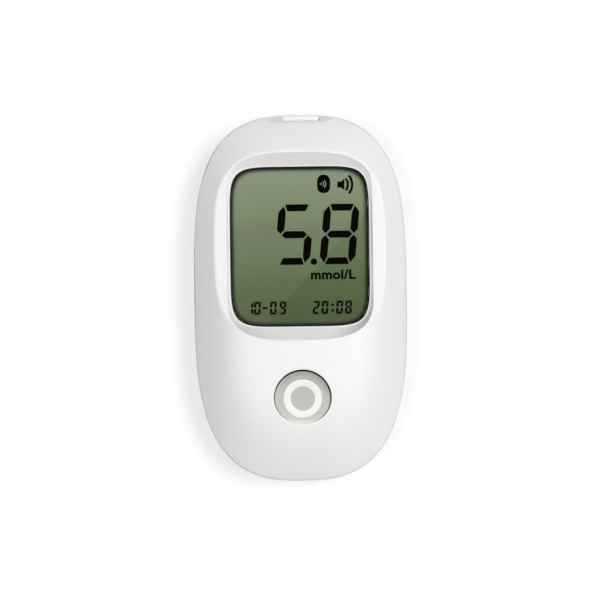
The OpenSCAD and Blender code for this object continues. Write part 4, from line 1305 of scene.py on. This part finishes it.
# Two tones, the size of their clouds, roughness, the size and height of the grain, then metallic, ior and
# stretch where they matter. Grain finer than about 0.3 mm is drawn that coarse, because it would not show
plainFinishes = {
    # ABS moulded in a softly blasted tool: an even satin sheen on a white with no visible grain
    "satin white ABS": (("#f2f2f1", "#f5f5f4"), 16, 0.52, 0.4, 0.001),
    # ABS moulded in a spark-eroded tool: a duller, cooler white that hides finger marks
    "matt white ABS": (("#eceeef", "#f0f1f1"), 12, 0.5, 0.35, 0.006),
    # ABS insert as it comes from the tool: plain white with a blunt sheen
    "white port ABS": (("#f1f1ef", "#f4f4f3"), 6, 0.5, 0.3, 0.002),
    # ABS ring from a polished tool: a warmer white, a little glossier than the cap round it
    "ivory white ABS": (("#f3f3ed", "#f6f6f1"), 3, 0.36, 0.3, 0.002),
    # Die-cut closed-cell foam: dead black and dusty, its 0.1 mm cells drawn at 0.25 mm
    "black EPDM foam": (("#0d0e0d", "#151615"), 0.8, 0.85, 0.25, 0.03),
    # Dark liquid crystal against the film: black, with almost no shine of its own
    "display ink": (("#020302", "#050504"), 1.0, 0.3, 0.4, 0.0005, 0.0, 1.04),
    # Float glass before the reflector: flat, clean and shiny, tinted by what is behind it
    "soda-lime glass": (("#93a08a", "#98a58f"), 8, 0.1, 2, 0.001),
    # Aluminised foil: a dull metallic grey-green
    "reflector foil": (("#7b876d", "#838f74"), 2, 0.4, 0.2, 0.004, 0.6),
    # Glass-filled nylon, moulded: charcoal with a faint fibre grain
    "black nylon": (("#1f2123", "#26282a"), 3, 0.55, 0.3, 0.008),
    # Transfer-moulded epoxy: matt grey-black with a fine blasted grain, drawn at 0.12 mm
    "black epoxy": (("#212325", "#2a2c2f"), 1.5, 0.6, 0.12, 0.008),
    # Stamped and hot-dipped: a soft bright grey, clouded where the tin flowed
    "tinned steel": (("#a9adb0", "#bcc0c2"), 2, 0.32, 0.4, 0.003, 1.0),
    # Fired ceramic: dry tan with fine mottling
    "barium titanate": (("#a8937a", "#baa68b"), 0.8, 0.5, 0.15, 0.004),
    # Unfilled nylon, moulded: warm ivory and a little waxy
    "ivory nylon": (("#ded8c5", "#e6e1d0"), 2, 0.5, 0.3, 0.006),
    # Electroplated over nickel: warm yellow, bright and very smooth
    "gold flash": (("#d0a94e", "#dcb960"), 1, 0.28, 0.2, 0.002, 1.0),
    # Pressed steel under stoved paint: dark grey with a fine orange peel
    "painted steel": (("#424548", "#4c4f52"), 2, 0.5, 0.25, 0.01),
    # Sintered and nickel plated: a softly blurred mid-grey mirror
    "nickel magnet": (("#999da0", "#a8acaf"), 3, 0.3, 0.3, 0.004, 1.0),
    # Heat-formed polyester film: dark, thin and slightly glossy
    "mylar cone": (("#242527", "#303133"), 1.2, 0.35, 0.3, 0.01),
    # Deep-drawn can, nickel plated: bright, with fine lines from the die
    "rolled nickel": (("#b3b6b8", "#c6c8ca"), 5, 0.3, 0.25, 0.003, 1.0, 1.5, (1, 14, 1)),
    # Rolled stainless strip, stamped: lines along the rolling direction
    "spring steel": (("#b8bbbd", "#c8cbcd"), 3, 0.27, 0.2, 0.003, 1.0, 1.5, (14, 1, 1)),
    # Barrel plated: grey, speckled from tumbling
    "zinc plate": (("#a3a6a8", "#b6b9bb"), 1.2, 0.35, 0.15, 0.004, 1.0),
    # Coated polyester label: flat, cool off-white without shine
    "matt label film": (("#dcdee0", "#e3e5e6"), 4, 0.6, 0.3, 0.004),
}
finishes = {name: surface(name, *values) for name, values in plainFinishes.items()}
finishes |= {
    "warm grey ABS": buttonGreyPaintedShade(),
    "clear acrylic": windowClear(),
    "clear underside": windowUnder(),
    "display film": displayGreen(),
    "green soldermask": boardGreen(),
    "layered silicone": zebraStripes(),
}
print("finishes made:", len(finishes))

nodeFinish = {
    "lcd_front_glass": "soda-lime glass",
    "lcd_rear_glass": "soda-lime glass",
    "lcd_reflector": "reflector foil",
    "lcd_frame": "black nylon",
    "zebra_connector": "layered silicone",
    "main_board": "green soldermask",
    "microcontroller": "black epoxy",
    "wireless_module": "tinned steel",
    "chip_components": "barium titanate",
    "tact_switch": "black nylon",
    "switch_plunger": "ivory nylon",
    "strip_connector": "ivory nylon",
    "strip_contacts": "gold flash",
    "speaker_frame": "painted steel",
    "speaker_magnet": "nickel magnet",
    "speaker_cone": "mylar cone",
    "speaker_gasket": "black EPDM foam",
    "speaker_pins": "gold flash",
    "upper_coin_cell": "rolled nickel",
    "lower_coin_cell": "rolled nickel",
    "cell_spring_contacts": "spring steel",
    "cell_side_contacts": "spring steel",
    "housing_screws": "zinc plate",
    "board_screws": "zinc plate",
    "rating_label": "matt label film",
}
for node, finish in nodeFinish.items():
    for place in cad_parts[node].material_slots:
        place.material = finishes[finish]


# Gives a finished piece its finish, its body and the solid that it stands for
def settle(piece, finish, carrier="meter", nodes=(), sharp=30, side=None, foot=0, upright=0.25):
    piece.data.shade_smooth()
    piece.data.set_sharp_from_angle(angle=math.radians(sharp))
    piece.data.materials.clear()
    piece.data.materials.append(finishes[finish])
    if side:
        piece.data.materials.append(finishes[side])
        for face in piece.data.polygons:
            face.material_index = int(face.normal.z < upright or face.center.z < foot * mm)
    if nodes:
        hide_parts(*nodes)
    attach(piece, carrier)
    print(piece.name, len(piece.data.polygons), "faces")


settle(frontShell(), "satin white ABS", nodes=["front_housing"], sharp=26)
settle(rearShell(), "matt white ABS", nodes=["rear_housing"])
settle(batteryDoor(), "matt white ABS", "door", ["battery_door"])
# The cap's sides and flange are black nylon, a dark surface that paints the shade in the gap round the cap
settle(buttonCap(), "warm grey ABS", "power_button", ["button_cap"], sharp=40,
       side="black nylon", foot=14)
settle(buttonRing(), "ivory white ABS", "power_button", ["button_ring"], sharp=50)
settle(displayLens(), "clear acrylic", nodes=["display_window"], side="clear underside",
       upright=0.97)
settle(windowGasket(), "black EPDM foam", nodes=["window_gasket"])
settle(displayFilm(), "display film", nodes=["lcd_polarizer"])
settle(displayFigures(), "display ink")
settle(displayIcons(), "display ink")
settle(speakerIcon(), "display ink")
settle(unitWord(), "display ink")
settle(stripPort(), "white port ABS", nodes=["strip_port"])

stageFloor()
print("object dressed")

# Name, direction, strength and spread in degrees
lights = [
    ("key softbox", (0.54, 0.14, 1.0), 2.29, 34),
    ("fill softbox", (-0.5, -0.12, 1.0), 1.11, 34),
]
for name, direction, strength, spread in lights:
    lamp = bpy.data.lights.new(name, "SUN")
    lamp.energy = strength
    lamp.angle = math.radians(spread)
    linkObject(name, lamp).rotation_euler = Vector(direction).to_track_quat("Z", "Y").to_euler()

world = bpy.data.worlds.new("studio")
bpy.context.scene.world = world
world.use_nodes = True
tree = world.node_tree
tree.nodes.clear()
glow = {"onObject": 0.045, "behind": 1.0}
dim, white = [addNode(tree, "ShaderNodeBackground", Color=(1, 1, 1, 1), Strength=s) for s in glow.values()]
path = addNode(tree, "ShaderNodeLightPath").outputs
choose = addNode(tree, "ShaderNodeMixShader", i0=path["Is Camera Ray"], i1=dim, i2=white)
addNode(tree, "ShaderNodeOutputWorld", Surface=choose)

view = {
    "pixelsWide": 605,
    "pixelsPerMm": 3.796,
    "distance": 2000,
    "aimX": 0.52,
    "aimY": 0.18,
    "aimZ": 12,
    "roll": -0.013,
}
camera = bpy.data.cameras.new("camera")
camera.lens = camera.sensor_width * view["distance"] * view["pixelsPerMm"] / view["pixelsWide"]
cameraObject = linkObject("camera", camera)
cameraObject.location = Vector((view["aimX"], view["aimY"], view["aimZ"] + view["distance"])) * mm
cameraObject.rotation_euler = (0, 0, view["roll"])
bpy.context.scene.camera = cameraObject
bpy.context.scene.view_settings.view_transform = "Standard"
print("lamps, world and camera set")
